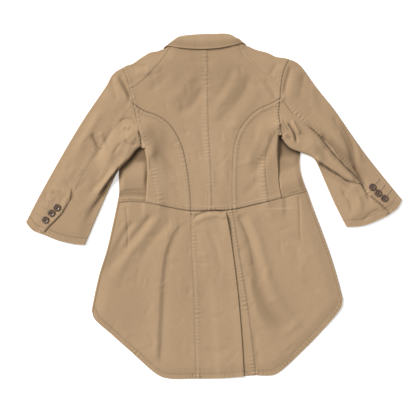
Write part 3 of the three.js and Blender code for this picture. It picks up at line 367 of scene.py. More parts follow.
# Tight folds whose bottom is out of sight, with painted shade along them: how dark, how wide at each end,
# and where
TIGHT_FOLDS = [
    (0.90, 2.0, 2.8, [(206, 200), (220, 189), (242, 172), (260, 149), (284, 120), (309, 93), (326, 78),
                      (341, 61), (353, 41), (361, 20), (366, 2)]),
    (0.60, 1.8, 2.0, [(247, 168), (264, 155), (277, 142), (289, 125), (301, 106), (309, 95)]),
    (0.70, 4.0, 4.0, [(250, 168), (257, 160), (263, 152)]),
    (0.70, 3.0, 4.0, [(324, 100), (332, 84), (343, 66), (350, 54)]),
    (1.00, 2.4, 2.0, [(240, 107), (266, 91), (289, 76), (311, 61), (333, 54)]),
    (0.85, 4.0, 2.0, [(246, 102), (262, 92), (278, 81), (294, 70)]),
    (0.75, 1.6, 2.0, [(366, 28), (378, 17), (394, 3), (412, -13)]),
    (1.00, 2.6, 2.8, [(-220, 93), (-230, 79), (-246, 59), (-261, 37), (-269, 25)]),
    (1.00, 1.8, 5.0, [(-178, 180), (-173, 166), (-169, 154), (-167, 140)]),
    (0.60, 1.5, 1.8, [(-340, 24), (-346, 4), (-357, -16), (-376, -36), (-398, -57)]),
    (0.24, 1.5, 1.5, [(-220, 194), (-214, 203), (-200, 206), (-188, 202), (-180, 186)]),
    (0.22, 1.5, 1.5, [(-209, 158), (-202, 149), (-192, 145), (-180, 147)]),
    (0.50, 2.2, 1.8, [(-283, 166), (-278, 152), (-273, 140)]),
    (0.40, 1.6, 1.6, [(-274, 140), (-267, 136), (-260, 140)]),
    (0.62, 1.8, 2.6, [(170, 196), (181, 184), (189, 169), (193, 149)]),
    (0.40, 4.0, 4.0, [(168, 168), (175, 162), (182, 160)]),
    (0.45, 1.6, 1.6, [(160, 206), (166, 190), (176, 176)]),
    (0.50, 1.3, 1.4, [(153, 260), (166, 244), (177, 227), (190, 212)]),
    (0.45, 1.3, 1.6, [(152, 216), (155, 200), (160, 187), (165, 177), (166, 164)]),
    (0.90, 2.4, 2.4, [(153, 166), (157, 160), (166, 152)]),
    (0.45, 1.5, 1.6, [(348, 64), (355, 50), (362, 40)]),
    (0.40, 1.4, 1.4, [(338, 78), (346, 66), (352, 58)]),
    (0.40, 1.4, 1.6, [(-50, -29), (-38, -19), (-14, -11), (10, -9), (28, -16)]),
    (0.22, 1.4, 1.8, [(-60, -32), (-86, -52), (-104, -80), (-116, -120), (-124, -180), (-128, -260),
                      (-133, -370)]),
    (0.30, 1.4, 1.8, [(56, -24), (72, -56), (84, -92), (94, -150)]),
]

# How seams look: the groove with its painted shade, the rows of stitches, the ladders of puckers with
# painted shade in their troughs, and the hems' rows
SEAM_REACH = 26
GROOVE_LEAST, GROOVE_DEPTH, GROOVE_WIDTH, GROOVE_SHADE_WIDTH = 0.08, 0.9, 1.6, 1.5
ROW_DEPTH, ROW_WIDTH, ROW_WORN, ROW_SHADE, STITCH_LOOK = 0.45, 1.1, 0.45, 0.36, 4.9
PUCKER_WAVE, LADDER_SHADE = 8.2, 0.34
HEM_ROW_WIDTH, HEM_ROW_SHADE_WIDTH, HEM_ROW_SHADE, HEM_WEAR_AND_HIGHLIGHT, FIRST_HEM_WAVE = 1.2, 1.3, 0.35, 0.35, 9
# How far a crease, a painted shade or a tight fold reaches, in widths, and how strong the painted shades and
# the wear with painted highlight are
FOLD_REACH, SHADE_STRENGTH, WEAR_AND_HIGHLIGHT = 2.6, 0.6, 0.45
# The shares of its length over which a painted shade or a tight fold fades in and out, and a fold's
# unevenness
SHADE_FADE, TIGHT_FADE, UNEVEN, UNEVEN_WAVE = (0.2, 0.25), (0.16, 0.2), 0.14, 4.1

# How dark the painted shade on the sunk panels is, and how far it reaches: by the sleeve, by the tuck, low
# down, in the corner (with its reach and place), and between which heights the shade by the tuck fades
SUNK_SHADE = {
    "left": ((1.00, 13), (0.62, 6), (0.55, 8), (0.95, 38, 20, -174, 124), (14, 30)),
    "right": ((1.00, 15), (0.48, 24), (0.22, 16), (0.60, 24, 24, 166, 140), (50, 125)),
}
# Where the painted shade starts beside the tuck, how high over the waist the low shade lies, and the painted
# shadow line under the sleeve with its fade
SUNK_CLEAR, SUNK_LOW, UNDER_SLEEVE, UNDER_SLEEVE_FADE = 0.5, 20, 6.5, (60, 130)
# How far from the tuck's edge the sunk panels start to rise, and are free to, low down and high up
SUNK_FREE = {"left": (0.5, 9, 9), "right": (0.2, 2.6, 5)}
# Between which heights that changes, how wide their low rim is, and how far they may sink
SUNK_CLOSED, SUNK_RIM, SUNK_LOWEST = (64, 96), 14, -0.6
# Folds of the sunk panels: how far above the waist, how wide, how high, and how they lean
SUNK_FOLDS = {
    "left": [(60, 25, 4.4, 0.1), (22, 7, -3.2, 0.05), (5, 5, 1.4, 0.0)],
    "right": [(22, 30, 4.4, 0.0), (92, 14, 2.4, -0.3), (62, 8, -0.6, 0.1)],
}

# Colours of the cloth, its painted shade, its painted light with wear, and its painted deep shade, the
# sewing thread, the horn buttons and the floor
TAN, TAN_DEEP = (0.450, 0.308, 0.183), (0.405, 0.272, 0.158)
TAN_FIBRE, TAN_SHADE = (0.50, 0.355, 0.222), (0.33, 0.215, 0.122)
PAINTED_SHADE_COLOUR, WEAR_AND_PAINTED_LIGHT = (0.20, 0.128, 0.072), (0.60, 0.44, 0.285)
PAINTED_DEEP_SHADE_COLOUR = (0.055, 0.034, 0.020)
THREAD, THREAD_DEEP, THREAD_DARK = (0.52, 0.38, 0.24), (0.33, 0.22, 0.13), (0.16, 0.10, 0.06)
HORN, HORN_DEEP = (0.21, 0.128, 0.085), (0.060, 0.035, 0.024)
WHITE, FLOOR_WHITE = (1, 1, 1), (0.96, 0.96, 0.96)
# Scales of the wave textures that make the twill's ribs and the thread's plies, and how deep both
# look, in metres
TWILL_SCALE, PLY_SCALE = 190, 420
TWILL_DEPTH, PLY_DEPTH = 0.00022, 0.00015

# The collar: its clearance over the back, the widest fold at its ends, its gape and ripple with the
# ripple's waves, places across it and how high it rises there, and where gape and ripple fade
COLLAR_CLEARANCE, COLLAR_FOLD, COLLAR_GAPE, COLLAR_RIPPLE = 0.25, 1.6, 1.8, 0.35
RIPPLE_LONG, RIPPLE_SHORT, RIPPLE_SHIFT = 17, 7.3, 2
COLLAR_ACROSS = np.linspace(0, 1, 21)
COLLAR_RISE = ([0, 0.08, 0.33, 0.66, 0.88, 1], [0.3, 0.5, 1.1, 2.1, 2.3, 0.9])
COLLAR_ENDS, COLLAR_GAPE_END = (-119, -60, 20, 76), 0.9
# Bands of painted shade across the collar's fall, and of painted light where the strength is negative
COLLAR_PAINTED_SHADE_AND_LIGHT = [
    # place across, reach, strength
    (0.34, 0.2, 0.22), (0.72, 0.16, -0.3), (0.21, 0.03, 0.35),
]
# The stand's ends along the neck seam and the roll, its gaps to both, and how it rises
STAND_LOW, STAND_HIGH = ((-78, 383.4), (36, 386.4)), ((-78, 399.6), (38, 402.4))
STAND_GAP_LOW, STAND_GAP_HIGH, STAND_RISE, STAND_SLOPE = 0.1, 1.1, 0.9, (384, 401)

# Stitches: sizes in mm, the shape of one as places along it and their thickness, and the rows that
# the seams' table doesn't hold
STITCH = dict(pitch=3.3, length=2.6, radius=0.42, sink=0.25, rise=0.2, probe=0.3)
STITCH_SHAPE = np.array([[-0.5, 0.45], [-0.3, 1.0], [0.3, 1.0], [0.5, 0.45]])
THREAD_SIDES = 6
HEM_ROW, UNDERLAP_ROW = 12.0, slice(37, -5)
PLEAT_STITCH = [(-52, -7), (-20, -6.5), (26, -6.5)]
BACK_SEAMS = ("princess", "shoulder_seam", "armhole", "waist", "side_seam")

# Cuff buttons: the profile's distance from the middle, in radii, and height, and the four holes
BUTTON_PROFILE = [
    (0.0, 1.5), (0.30, 1.45), (0.52, 1.6), (0.66, 2.3), (0.80, 2.62), (0.92, 2.45), (0.99, 1.8),
    (1.0, 1.2), (0.94, 0.45), (0.80, 0.0), (0.0, 0.0),
]
BUTTON_SIDES, HOLE_SIDES, HOLE_RADIUS, HOLE_SPREAD, HOLE_DEPTH, HOLE_MIDDLE = 48, 16, 1.05, 2.05, 8, 1
WELD = 1e-6
# The crossed thread: each strand's turn, how low its ends are and how high its middle, then the path
# between as shares of its reach and heights, how far two threads lie apart, halved, and how thick
SEWN_ON = [(45, -0.7, 2.15), (135, -0.6, 2.45)]
SEWN_PATH, SEWN_BESIDE, SEWN_RADIUS = [(0.96, 1.0), (0.7, 1.95)], 0.35, 0.34
# Buttonholes: lips and ends, and the direction each runs in from its button
BUTTONHOLE = dict(length=22, width=2.1, start=4, thread=0.75, lip_lift=0.15, end_lift=0.2, end_share=0.9)
LIP_POINTS, END_POINTS = 26, 4
HOLE_RUNS = {"left": (-0.81, 0.58), "right": (0.65, 0.76)}

# How far the twill of a sleeve is turned, in degrees
SLEEVE_GRAIN = {"left": -31, "right": 38}

# Floor, light and camera, in metres
FLOOR_SIZE, FLOOR_LEVEL, FLOOR_GLOW = 8, -0.0003, 0.35
KEY, KEY_SOFTNESS, KEY_FROM = 3.75, 0.40, (-0.76, 0.50, 0.66)
FILL, FILL_SIZE, FILL_FROM, WORLD = 12, 3.0, (0.3, 0.2, 3.2), 0.31
CAMERA_HEIGHT, FRAME_WIDTH, VIEW_CENTRE, SENSOR = 2.5, 0.9776, (-0.0141, -0.0031), 36


# Plan curves

def length_along(points):
    """The length from a line's start to each of its points."""
    steps = np.hypot(*np.diff(points, axis=0).T)
    return np.concatenate([[0.0], np.cumsum(steps)])


def at_shares(points, shares):
    """Points of a line, each a given share of the way along it."""
    reach = length_along(points)
    wanted = np.asarray(shares) * reach[-1]
    return np.stack([np.interp(wanted, reach, points[:, k]) for k in range(points.shape[1])], axis=1)


def curve(table):
    """The smooth curve through a short table of points, as closely spaced points."""
    p = np.array(table, float)
    p = np.vstack([2 * p[0] - p[1], p, 2 * p[-1] - p[-2]])
    knots = np.concatenate([[0.0], np.cumsum(np.sqrt(np.hypot(*np.diff(p, axis=0).T)))])
    pieces = []
    for i in range(1, len(p) - 2):
        t = np.linspace(knots[i], knots[i + 1], CURVE_CELLS, endpoint=False)[:, None]
        t0, t1, t2, t3 = knots[i - 1:i + 3]
        a1 = (t1 - t) / (t1 - t0) * p[i - 1] + (t - t0) / (t1 - t0) * p[i]
        a2 = (t2 - t) / (t2 - t1) * p[i] + (t - t1) / (t2 - t1) * p[i + 1]
        a3 = (t3 - t) / (t3 - t2) * p[i + 1] + (t - t2) / (t3 - t2) * p[i + 2]
        b1 = (t2 - t) / (t2 - t0) * a1 + (t - t0) / (t2 - t0) * a2
        b2 = (t3 - t) / (t3 - t1) * a2 + (t - t1) / (t3 - t1) * a3
        pieces.append((t2 - t) / (t2 - t1) * b1 + (t - t1) / (t2 - t1) * b2)
    line = np.vstack(pieces + [p[-2:-1]])
    cells = max(2, math.ceil(length_along(line)[-1] / CURVE_STEP))
    return at_shares(line, np.linspace(0, 1, cells + 1))


def curves(lines, **others):
    return SimpleNamespace(**{name: curve(points) for name, points in lines.items()}, **others)


left = curves(LEFT, side="left", inward=1, buttons=[(-368, -2), (-381, -15), (-395, -31)])
right = curves(RIGHT, side="right", inward=-1, buttons=[(371, 46), (384, 32), (399, 20)])
middle = curves(MIDDLE)
halves = (left, right)


def table_line(name, half):
    return getattr({"left": left, "right": right, "middle": middle}[half], name)


def stretch(line, start, end):
    """The stretch of a line from its point nearest to one place to that nearest to another."""
    a, b = (int(np.argmin(np.hypot(*(line - np.array(place)).T))) for place in (start, end))
    piece = line[a:b + 1] if a <= b else line[b:a + 1][::-1]
    return np.vstack([start, piece[1:-1], end])


def join(*lines):
    return np.vstack([lines[0]] + [line[1:] for line in lines[1:]])


def straight(a, b):
    return np.array([a, b], float)


def moved(line, away):
    """A line moved sideways, to its left where away is positive, without its very ends."""
    run = unit(np.gradient(line, axis=0))
    return (line + np.stack([-run[:, 1], run[:, 0]], axis=1) * away)[3:-3]


def shares_for(size, step):
    """Shares of a length, closer together near its two ends, where the seams are."""
    band = min(EDGE_BAND, size / 3)
    edge = np.linspace(0, band, max(2, round(band / EDGE_STEP)) + 1)
    inner = max(2, round((size - 2 * band) / step))
    mid = np.linspace(band, size - band, inner + 1)[1:-1]
    return np.concatenate([edge, mid, size - edge[::-1]]) / size


def patch(edges, rows, columns):
    """A grid between four lines: rows run from first to last, columns from near to far."""
    near, far = (at_shares(line, rows) for line in edges[:2])
    first, last = (at_shares(line, columns) for line in edges[2:])
    u, v = columns[None, :, None], rows[:, None, None]
    across = near[:, None] * (1 - u) + far[:, None] * u
    along = first[None] * (1 - v) + last[None] * v
    ends = (near[0] * (1 - u) + far[0] * u) * (1 - v) + (near[-1] * (1 - u) + far[-1] * u) * v
    grid = across + along - ends
    grid[:, 0], grid[:, -1] = near, far
    return grid


# Short sums

def smoothstep(x, low, high):
    t = np.clip((x - low) / (high - low), 0, 1)
    return t * t * (3 - 2 * t)


def mix(a, b, t):
    return a + (b - a) * t


def bell(away, width):
    """One in the middle, dying out to both sides."""
    return np.exp(-(away / width) ** 2)


def faded(share, fade_in, fade_out):
    """One along a line, dying out over a share of its length at each end."""
    return smoothstep(share, 0, fade_in) * (1 - smoothstep(share, 1 - fade_out, 1))


def unit(v):
    return v / np.maximum(np.linalg.norm(v, axis=-1, keepdims=True), 1e-12)


def x_at(line, y):
    """The x, at a given y, of a line that runs down the jacket."""
    order = np.argsort(line[:, 1])
    return np.interp(y, line[order, 1], line[order, 0])


def y_at(line, x):
    """The y, at a given x, of a line that runs across the jacket."""
    order = np.argsort(line[:, 0])
    return np.interp(x, line[order, 0], line[order, 1])


def from_segment(start, end, x, y):
    """For each place: its distance from a segment, the share passed along it, and its side."""
    (ax, ay), (dx, dy) = start, end - start
    share = np.clip(((x - ax) * dx + (y - ay) * dy) / (dx * dx + dy * dy), 0, 1)
    away = np.hypot(x - ax - share * dx, y - ay - share * dy)
    return away, share, np.where(dx * (y - ay) - dy * (x - ax) >= 0, 1, -1)


def beside(line, x, y):
    """For each place: its distance from a line, and which side it is on."""
    away, side = np.full(np.shape(x), np.inf), np.ones(np.shape(x))
    cells = max(1, min(len(line) - 1, round(length_along(line)[-1] / LINE_CELL)))
    points = at_shares(line, np.linspace(0, 1, cells + 1))
    for start, end in zip(points[:-1], points[1:]):
        distance, _, which = from_segment(start, end, x, y)
        closer = distance < away
        away, side = np.where(closer, distance, away), np.where(closer, which, side)
    return away, side


# Heights, worked out once on a fine grid over the whole jacket

GRID_X = np.arange(-452, 452.1, GRID_STEP)
GRID_Y = np.arange(-414, 414.1, GRID_STEP)
X, Y = np.meshgrid(GRID_X, GRID_Y, indexing="ij")


def along_line(line, reach):
    """Round a line: the part of the grid, the distance, the side, the length passed and the whole."""
    def span(values, a, b):
        return slice(*np.searchsorted(values, (a, b)))

    low, high = line.min(axis=0) - reach, line.max(axis=0) + reach
    part = span(GRID_X, low[0], high[0]), span(GRID_Y, low[1], high[1])
    shape = X[part].shape
    away, side, passed = np.full(shape, FAR), np.ones(shape), np.zeros(shape)
    total = length_along(line)[-1]
    cells = max(2, round(total / LINE_CELL))
    points = at_shares(line, np.linspace(0, 1, cells + 1))
    for k, (start, end) in enumerate(zip(points[:-1], points[1:])):
        low, high = np.minimum(start, end) - reach, np.maximum(start, end) + reach
        box = span(GRID_X[part[0]], low[0], high[0]), span(GRID_Y[part[1]], low[1], high[1])
        distance, share, which = from_segment(start, end, X[part][box], Y[part][box])
        closer = distance < away[box]
        away[box] = np.where(closer, distance, away[box])
        passed[box] = np.where(closer, (k + share) * (total / cells), passed[box])
        side[box] = np.where(closer, which, side[box])
    return part, away, side, passed, total


def sample(field, x, y):
    """A grid's values at any places, between its points."""
    u = np.clip((x - GRID_X[0]) / GRID_STEP, 0, len(GRID_X) - 1.001)
    v = np.clip((y - GRID_Y[0]) / GRID_STEP, 0, len(GRID_Y) - 1.001)
    i, j = u.astype(int), v.astype(int)
    a, b = u - i, v - j
    return ((field[i, j] * (1 - a) + field[i + 1, j] * a) * (1 - b)
            + (field[i, j + 1] * (1 - a) + field[i + 1, j + 1] * a) * b)


def tuck_bump(half, x, y):
    """How far the cloth on top has risen over a tuck's folded edge: 0 to 1."""
    inside = (x - x_at(half.tuck_edge, y)) * half.inward
    clear = TUCK["top"] + TUCK["clearance"]
    rise = smoothstep(inside, -TUCK["ramp_out"], 0)
    fall = smoothstep(inside, clear, clear + TUCK["ramp_in"])
    along = smoothstep(y, -TUCK["fade"], 0) * (1 - smoothstep(y, TUCK["above"], TUCK["gone"]))
    return (rise - fall) * along


def armpit_bump(half, x, y):
    """How far the cloth on top has risen over the layers at an armpit: 0 to 1."""
    return 1 - smoothstep(beside(half.armpit, x, y)[0], ARMPIT_FLAT, ARMPIT_FADE)


def base_top():
    """The top without creases, clear of the layers below, and how much prouder it lies inside."""
    clear = FRONT_LAP + FRONT_CLEARANCE
    over_lap = 1 - smoothstep(np.abs(X - FRONT_MIDDLE), clear, clear + FRONT_RISE)
    over_skirt = smoothstep(Y - y_at(middle.front_hem, X), -HEM_RISE, -1)
    skirt = mix(FLOOR_SHEET, mix(SKIRT, SKIRT_MIDDLE, over_lap), over_skirt)
    sleeves = smoothstep(np.abs(X - FRONT_MIDDLE), *SLEEVES)
    height = mix(skirt, mix(BACK, SLEEVE, sleeves), smoothstep(Y, 0, BACK_RISE))
    proud = 0
    outline = [middle.flap_hem, middle.underlap_hem]
    for half in halves:
        height = mix(height, TUCK_TOP, tuck_bump(half, X, Y))
        bump = armpit_bump(half, X, Y)
        height = mix(height, ARMPIT_TOP, bump)
        proud = proud + ARMPIT_PUFF * bump ** 2
        outline += [half.shoulder_edge, half.sleeve_outer, half.cuff, half.sleeve_inner, half.skirt_edge,
                    half.hem, half.side_edge]
    inside = np.full(X.shape, FAR)
    for line in outline:
        part, away, *_ = along_line(line, PUFF_REACH)
        inside[part] = np.minimum(inside[part], away)
    by_tuck = bell(X - x_at(right.tuck_edge, Y), CALM_REACH) * (1 - smoothstep(Y, *CALM_FADE))
    return height, proud + PUFF * smoothstep(inside, 0, PUFF_REACH) * (1 - CALM * by_tuck * (Y > CALM_FROM))


def darken(dark, part, shade):
    dark[part] = np.maximum(dark[part], shade)


def add_crease(height, rise, width, left_wider, right_wider, fade_in, fade_out, line):
    reach = FOLD_REACH * max(width) * max(left_wider, right_wider)
    part, away, side, passed, total = along_line(curve(line), reach)
    share = passed / total
    wide = mix(*width, share) * np.where(side > 0, left_wider, right_wider)
    height[part] += RELIEF * rise * faded(share, fade_in, fade_out) * bell(away, wide)


def add_step(height, rise, width, reach, line):
    part, away, side, passed, total = along_line(curve(line), reach)
    start = smoothstep(passed / total, 0, 0.1)
    raised = smoothstep(side * away, -width / 2, width / 2)
    height[part] += rise * start * raised * (1 - smoothstep(away, 0, reach))


def add_wrinkles(height):
    draw = np.random.default_rng(WRINKLE["seed"])
    for low_x, high_x, low_y, high_y, count, heading in WRINKLE_ZONES:
        for _ in range(count):
            place = np.array([draw.uniform(low_x, high_x), draw.uniform(low_y, high_y)])
            turn = math.radians(heading + draw.normal(0, WRINKLE["spread"] / 2))
            bend = draw.normal(0, WRINKLE["bend"])
            size = draw.uniform(*WRINKLE["length"])
            steps = [np.array([math.cos(turn + bend * k), math.sin(turn + bend * k)]) for k in (-1, 0, 1)]
            line = [place - steps[0] * size / 2, place, place + steps[2] * size / 2]
            width = draw.uniform(*WRINKLE["width"])
            rise = draw.uniform(*WRINKLE["height"]) * draw.choice([-1, -1, 1])
            far_width = width * draw.uniform(*WRINKLE["widening"])
            add_crease(height, rise, (width, far_width), 1, 1, WRINKLE["fade"], WRINKLE["fade"], line)


def wavy(passed, k):
    """Uneven waves along a seam, and how strong they are from place to place."""
    wave = passed / PUCKER_WAVE + 0.35 * np.sin(passed / 23 + k) + 0.2 * np.sin(passed / 9.7 + 2 * k)
    strength = 0.55 + 0.35 * np.sin(passed / 31 + 1.7 * k) + 0.3 * np.sin(passed / 12.3 + 0.7 * k)
    return np.sin(2 * math.pi * wave) * np.clip(strength, 0.1, 1.1)


def add_seam(fields, k, name, half, side, band, rise, pucker, shades, rows):
    height, dark, wear_and_highlight = fields
    part, away, which, passed, total = along_line(table_line(name, half), SEAM_REACH)
    signed = away * which * side
    sewn = smoothstep(signed, 0, 1.8) * (1 - smoothstep(signed, band - 1, band + 3))
    puckers = wavy(passed, k)
    shade = mix(*shades, passed / total)
    height[part] += rise * sewn + PUCKER_RELIEF * pucker * puckers * bell(signed - band / 2, 0.7 * band)
    height[part] -= (GROOVE_LEAST + GROOVE_DEPTH * shade) * bell(away, GROOVE_WIDTH)
    for row in rows:
        line = bell(signed - row, ROW_WIDTH)
        dashes = 0.5 + 0.5 * np.sin(2 * math.pi * passed / STITCH_LOOK + 3 * row)
        height[part] -= ROW_DEPTH * line
        wear_and_highlight[part] += ROW_WORN * line * dashes
        # Painted shade in the groove of each row
        darken(dark, part, ROW_SHADE * shade * line)
    # Painted shade in the seam's groove and in the puckers' troughs; wear, with painted highlight on the
    # puckers' crests, along the allowance
    darken(dark, part, shade * (0.8 + 0.2 * puckers) * bell(away, GROOVE_SHADE_WIDTH))
    wear_and_highlight[part] += 0.5 * sewn * (0.55 + 0.45 * puckers)
    darken(dark, part, LADDER_SHADE * pucker * sewn * np.clip(-puckers, 0, 1))


def add_hem(fields, k, name, half, side, band, rise, pucker):
    height, dark, wear_and_highlight = fields
    part, away, which, passed, _ = along_line(table_line(name, half), SEAM_REACH)
    signed = away * which * side
    inward = signed > -1
    turned = inward * (1 - smoothstep(signed, band - 1.5, band + 1.5))
    puckers = wavy(passed, k)
    spread = inward * bell(signed - 0.6 * band, 0.5 * band)
    height[part] += rise * turned + PUCKER_RELIEF * pucker * puckers * spread
    height[part] -= ROW_DEPTH * bell(signed - band, HEM_ROW_WIDTH)
    # Painted shade in the hem's row and in the puckers' troughs; wear, with painted highlight on the
    # puckers' crests, on the turned hem
    darken(dark, part, HEM_ROW_SHADE * bell(signed - band, HEM_ROW_SHADE_WIDTH))
    wear_and_highlight[part] += HEM_WEAR_AND_HIGHLIGHT * turned * (0.5 + 0.5 * puckers)
    darken(dark, part, LADDER_SHADE * pucker * turned * np.clip(-puckers, 0, 1))


def add_tight_fold(height, dark, strength, start, end, line):
    part, away, _, passed, total = along_line(curve(line), FOLD_REACH * max(start, end))
    share = passed / total
    uneven = 1 - UNEVEN + UNEVEN * np.sin(passed / UNEVEN_WAVE)
    closed = faded(share, *TIGHT_FADE) * uneven * bell(away, mix(start, end, share))
    # Painted shade along the fold, over a groove sunk under it
    darken(dark, part, strength * closed)
    height[part] -= TIGHT_DEPTH * strength * closed


# Paints shade into the cloth's colour along a deep fold
def add_shade(tone, strength, start, end, line):
    part, away, _, passed, total = along_line(curve(line), FOLD_REACH * max(start, end))
    share = passed / total
    fade = faded(share, *SHADE_FADE)
    tone[part] += SHADE_STRENGTH * strength * fade * bell(away, mix(start, end, share))


def make_fields():
    """The top's height without and with creases, the painted shade in its seams and folds, and its painted
    shade and light with wear.
    """
    lowest, proud = base_top()
    smooth = lowest + proud
    height = smooth.copy()
    dark, wear_and_highlight, tone = np.zeros_like(X), np.zeros_like(X), np.zeros_like(X)
    for crease in CREASES:
        add_crease(height, *crease)
    for step in STEPS:
        add_step(height, *step)
    add_wrinkles(height)
    for k, seam in enumerate(SEAMS):
        add_seam((height, dark, wear_and_highlight), k, *seam)
    for k, hem in enumerate(HEMS, FIRST_HEM_WAVE):
        add_hem((height, dark, wear_and_highlight), k, *hem)
    for fold in TIGHT_FOLDS:
        add_tight_fold(height, dark, *fold)
    for fold in SHADED_FOLDS:
        add_shade(tone, *fold)
    # Broad painted shade and painted light over the cloth
    for x, y, across, along, strength in PAINTED_SHADE_AND_LIGHT_PATCHES:
        tone += strength * np.exp(-((X - x) / across) ** 2 - ((Y - y) / along) ** 2)
    risen = sum(tuck_bump(half, X, Y) + armpit_bump(half, X, Y) for half in halves)
    room = DEEPEST * (1 - risen.clip(0, 1))
    height = np.logaddexp((height - lowest + room) / EASE, 0) * EASE + lowest - room
    return smooth, height, dark, tone - WEAR_AND_HIGHLIGHT * np.minimum(wear_and_highlight, 1)


SMOOTH, TOP, DARK, PAINTED_SHADE_LIGHT_AND_WEAR = make_fields()


def top(x, y):
    """The middle of the cloth that lies on top, with its creases and seams."""
    return sample(TOP, x, y)


def lapped_top(x, y):
    """The tail's middle, over the underlap and gaping at its open edge."""
    away = beside(middle.flap_edge, x, y)[0]
    clear = VENT_LAP + VENT_CLEARANCE
    gape = FLAP_GAPE + FLAP_LIFT * bell(y - FLAP_LIFT_AT, FLAP_LIFT_REACH)
    open_edge = gape * (1 - smoothstep(away, 0, FLAP_FADE)) * (1 - smoothstep(y, *FLAP_TOP))
    return top(x, y) + LAYER * (1 - smoothstep(away, clear, clear + VENT_RISE)) + open_edge


def sleeve_below(half):
    """The height of a sleeve's hidden half."""
    return lambda x, y: mix(FLOOR_SHEET, ARMPIT_BELOW, armpit_bump(half, x, y))


def front_height(half):
    """The height of a hidden front: on the floor, or over the collar's end and the other front."""
    start = FRONT_MIDDLE - FRONT_LAP - FRONT_CLEARANCE

    def height(x, y):
        away, side = beside(half.leaf_outer, x, y)
        outside = np.where(side * half.inward < 0, away, 0)
        beyond = np.maximum(0, half.leaf_outer[-1][1] - y)
        lift = 1 - smoothstep(np.maximum(outside, beyond), *LEAF_RISE)
        if half.side == "left":
            lift = np.maximum(lift, smoothstep(x, start - FRONT_RISE, start))
        return mix(FLOOR_SHEET, SECOND, lift)

    return height


def sunk_height(half):
    """The sunk part of a side panel: low under the tuck and sleeve, with a slack bulge between."""
    def height(x, y):
        start, low_end, high_end = SUNK_FREE[half.side]
        end = mix(low_end, high_end, smoothstep(y, *SUNK_CLOSED))
        free = smoothstep((x_at(half.tuck_edge, y) - x) * half.inward, start, end)
        above = y - y_at(half.waist, x)
        slack = sum(rise * bell(above - at - lean * (x - half.tuck_edge[0][0]), wide)
                    for at, wide, rise, lean in SUNK_FOLDS[half.side])
        rim = smoothstep(beside(half.side_edge, x, y)[0], 0, SUNK_RIM)
        return SECOND + np.maximum(free * slack * rim, SUNK_LOWEST)

    return height


# Walls of cloth

def make_room(grid, column, out, depth):
    """Moves the columns beside a folded edge back, to make room for the fold's half circle."""
    edge = grid[:, column]
    away = np.linalg.norm(grid - edge[:, None], axis=2)
    share = np.clip(1 - away / (FOLD_ROOM * depth[:, None]), 0, 1) ** 2
    return grid - out[:, None] * (depth[:, None] * share)[..., None]


def fold_together(patches, flattest=np.inf):
    """Joins patches into one grid of points. Where one ends and the next begins, on the same plan
    line, the cloth turns over in a half circle that reaches out to that line, or in a half ellipse
    that is no wider in plan than flattest. Also tells which points lie on top."""
    grids = [grid.copy() for grid, _ in patches]
    heights = [height for _, height in patches]
    folds = []
    for k in range(len(patches) - 1):
        edge = grids[k][:, -1]
        tangent = unit(np.gradient(edge, axis=0))
        out = np.stack([tangent[:, 1], -tangent[:, 0]], axis=1)
        turned = np.sum(out * (edge - grids[k][:, -2]), axis=1, keepdims=True) < 0
        out = np.where(turned, -out, out)
        probe = edge - out * FOLD_PROBE
        upper, lower = (height(probe[:, 0], probe[:, 1]) for height in heights[k:k + 2])
        depth = np.minimum(np.abs(upper - lower) / 2 + CLOTH / 2, flattest)
        folds.append((edge - out * depth[:, None], out, upper, lower, depth - CLOTH / 2))
        grids[k] = make_room(grids[k], -1, out, depth)
        grids[k + 1] = make_room(grids[k + 1], 0, out, depth)
    parts, on_top = [], []
    for k, (grid, height) in enumerate(zip(grids, heights)):
        z = height(grid[..., 0], grid[..., 1])
        block = np.concatenate([grid, z[..., None]], axis=2)
        shown = float(height in (top, lapped_top))
        if k:
            block[:, 0, 2] = folds[k - 1][3]
        if k < len(folds):
            block[:, -1, 2] = folds[k][2]
        parts.append(block)
        on_top += [shown] * block.shape[1]
        if k < len(folds):
            centre, out, upper, lower, radius = folds[k]
            for angle in np.linspace(0, math.pi, ARC_STEPS + 1)[1:-1]:
                place = centre + out * (radius * math.sin(angle))[:, None]
                level = (upper + lower) / 2 + (upper - lower) / 2 * math.cos(angle)
                parts.append(np.concatenate([place, level[:, None]], axis=1)[:, None])
                on_top.append(shown)
    whole = np.concatenate(parts, axis=1)
    return whole, np.tile(on_top, (len(whole), 1))


def draw_in(grid):
    """Draws the edges of a grid in by the small gap that two pieces keep at a seam."""
    out = grid.copy()
    every = slice(None)
    for edge, inner in (((0, every), (1, every)), ((-1, every), (-2, every)),
                        ((every, 0), (every, 1)), ((every, -1), (every, -2))):
        along = unit(np.gradient(grid[edge], axis=0))
        towards = grid[inner] - grid[edge]
        square = towards - along * np.sum(towards * along, axis=-1, keepdims=True)
        out[edge] += unit(square) * SEAM_GAP
    return out


def mesh_object(name, points, quads, material):
    """An object in the scene, from points in mm and faces of four points each."""
    mesh = bpy.data.meshes.new(name)
    mesh.vertices.add(len(points))
    mesh.vertices.foreach_set("co", (points * MM).astype(np.float32).ravel())
    mesh.loops.add(quads.size)
    mesh.loops.foreach_set("vertex_index", quads.astype(np.int32).ravel())
    mesh.polygons.add(len(quads))
    mesh.polygons.foreach_set("loop_start", np.arange(0, quads.size, quads.shape[1], dtype=np.int32))
    mesh.polygons.foreach_set("use_smooth", np.ones(len(quads), bool))
    mesh.update(calc_edges=True)
    mesh.validate()
    mesh.materials.append(material)
    made = bpy.data.objects.new(name, mesh)
    bpy.context.scene.collection.objects.link(made)
    return made


def store(made, name, values, kind="FLOAT", key="value"):
    """Keeps values for a mesh's points under a name that the materials read."""
    attributes = made.data.attributes
    attribute = attributes.get(name) or attributes.new(name, kind, "POINT")
    attribute.data.foreach_set(key, values.astype(np.float32).ravel())


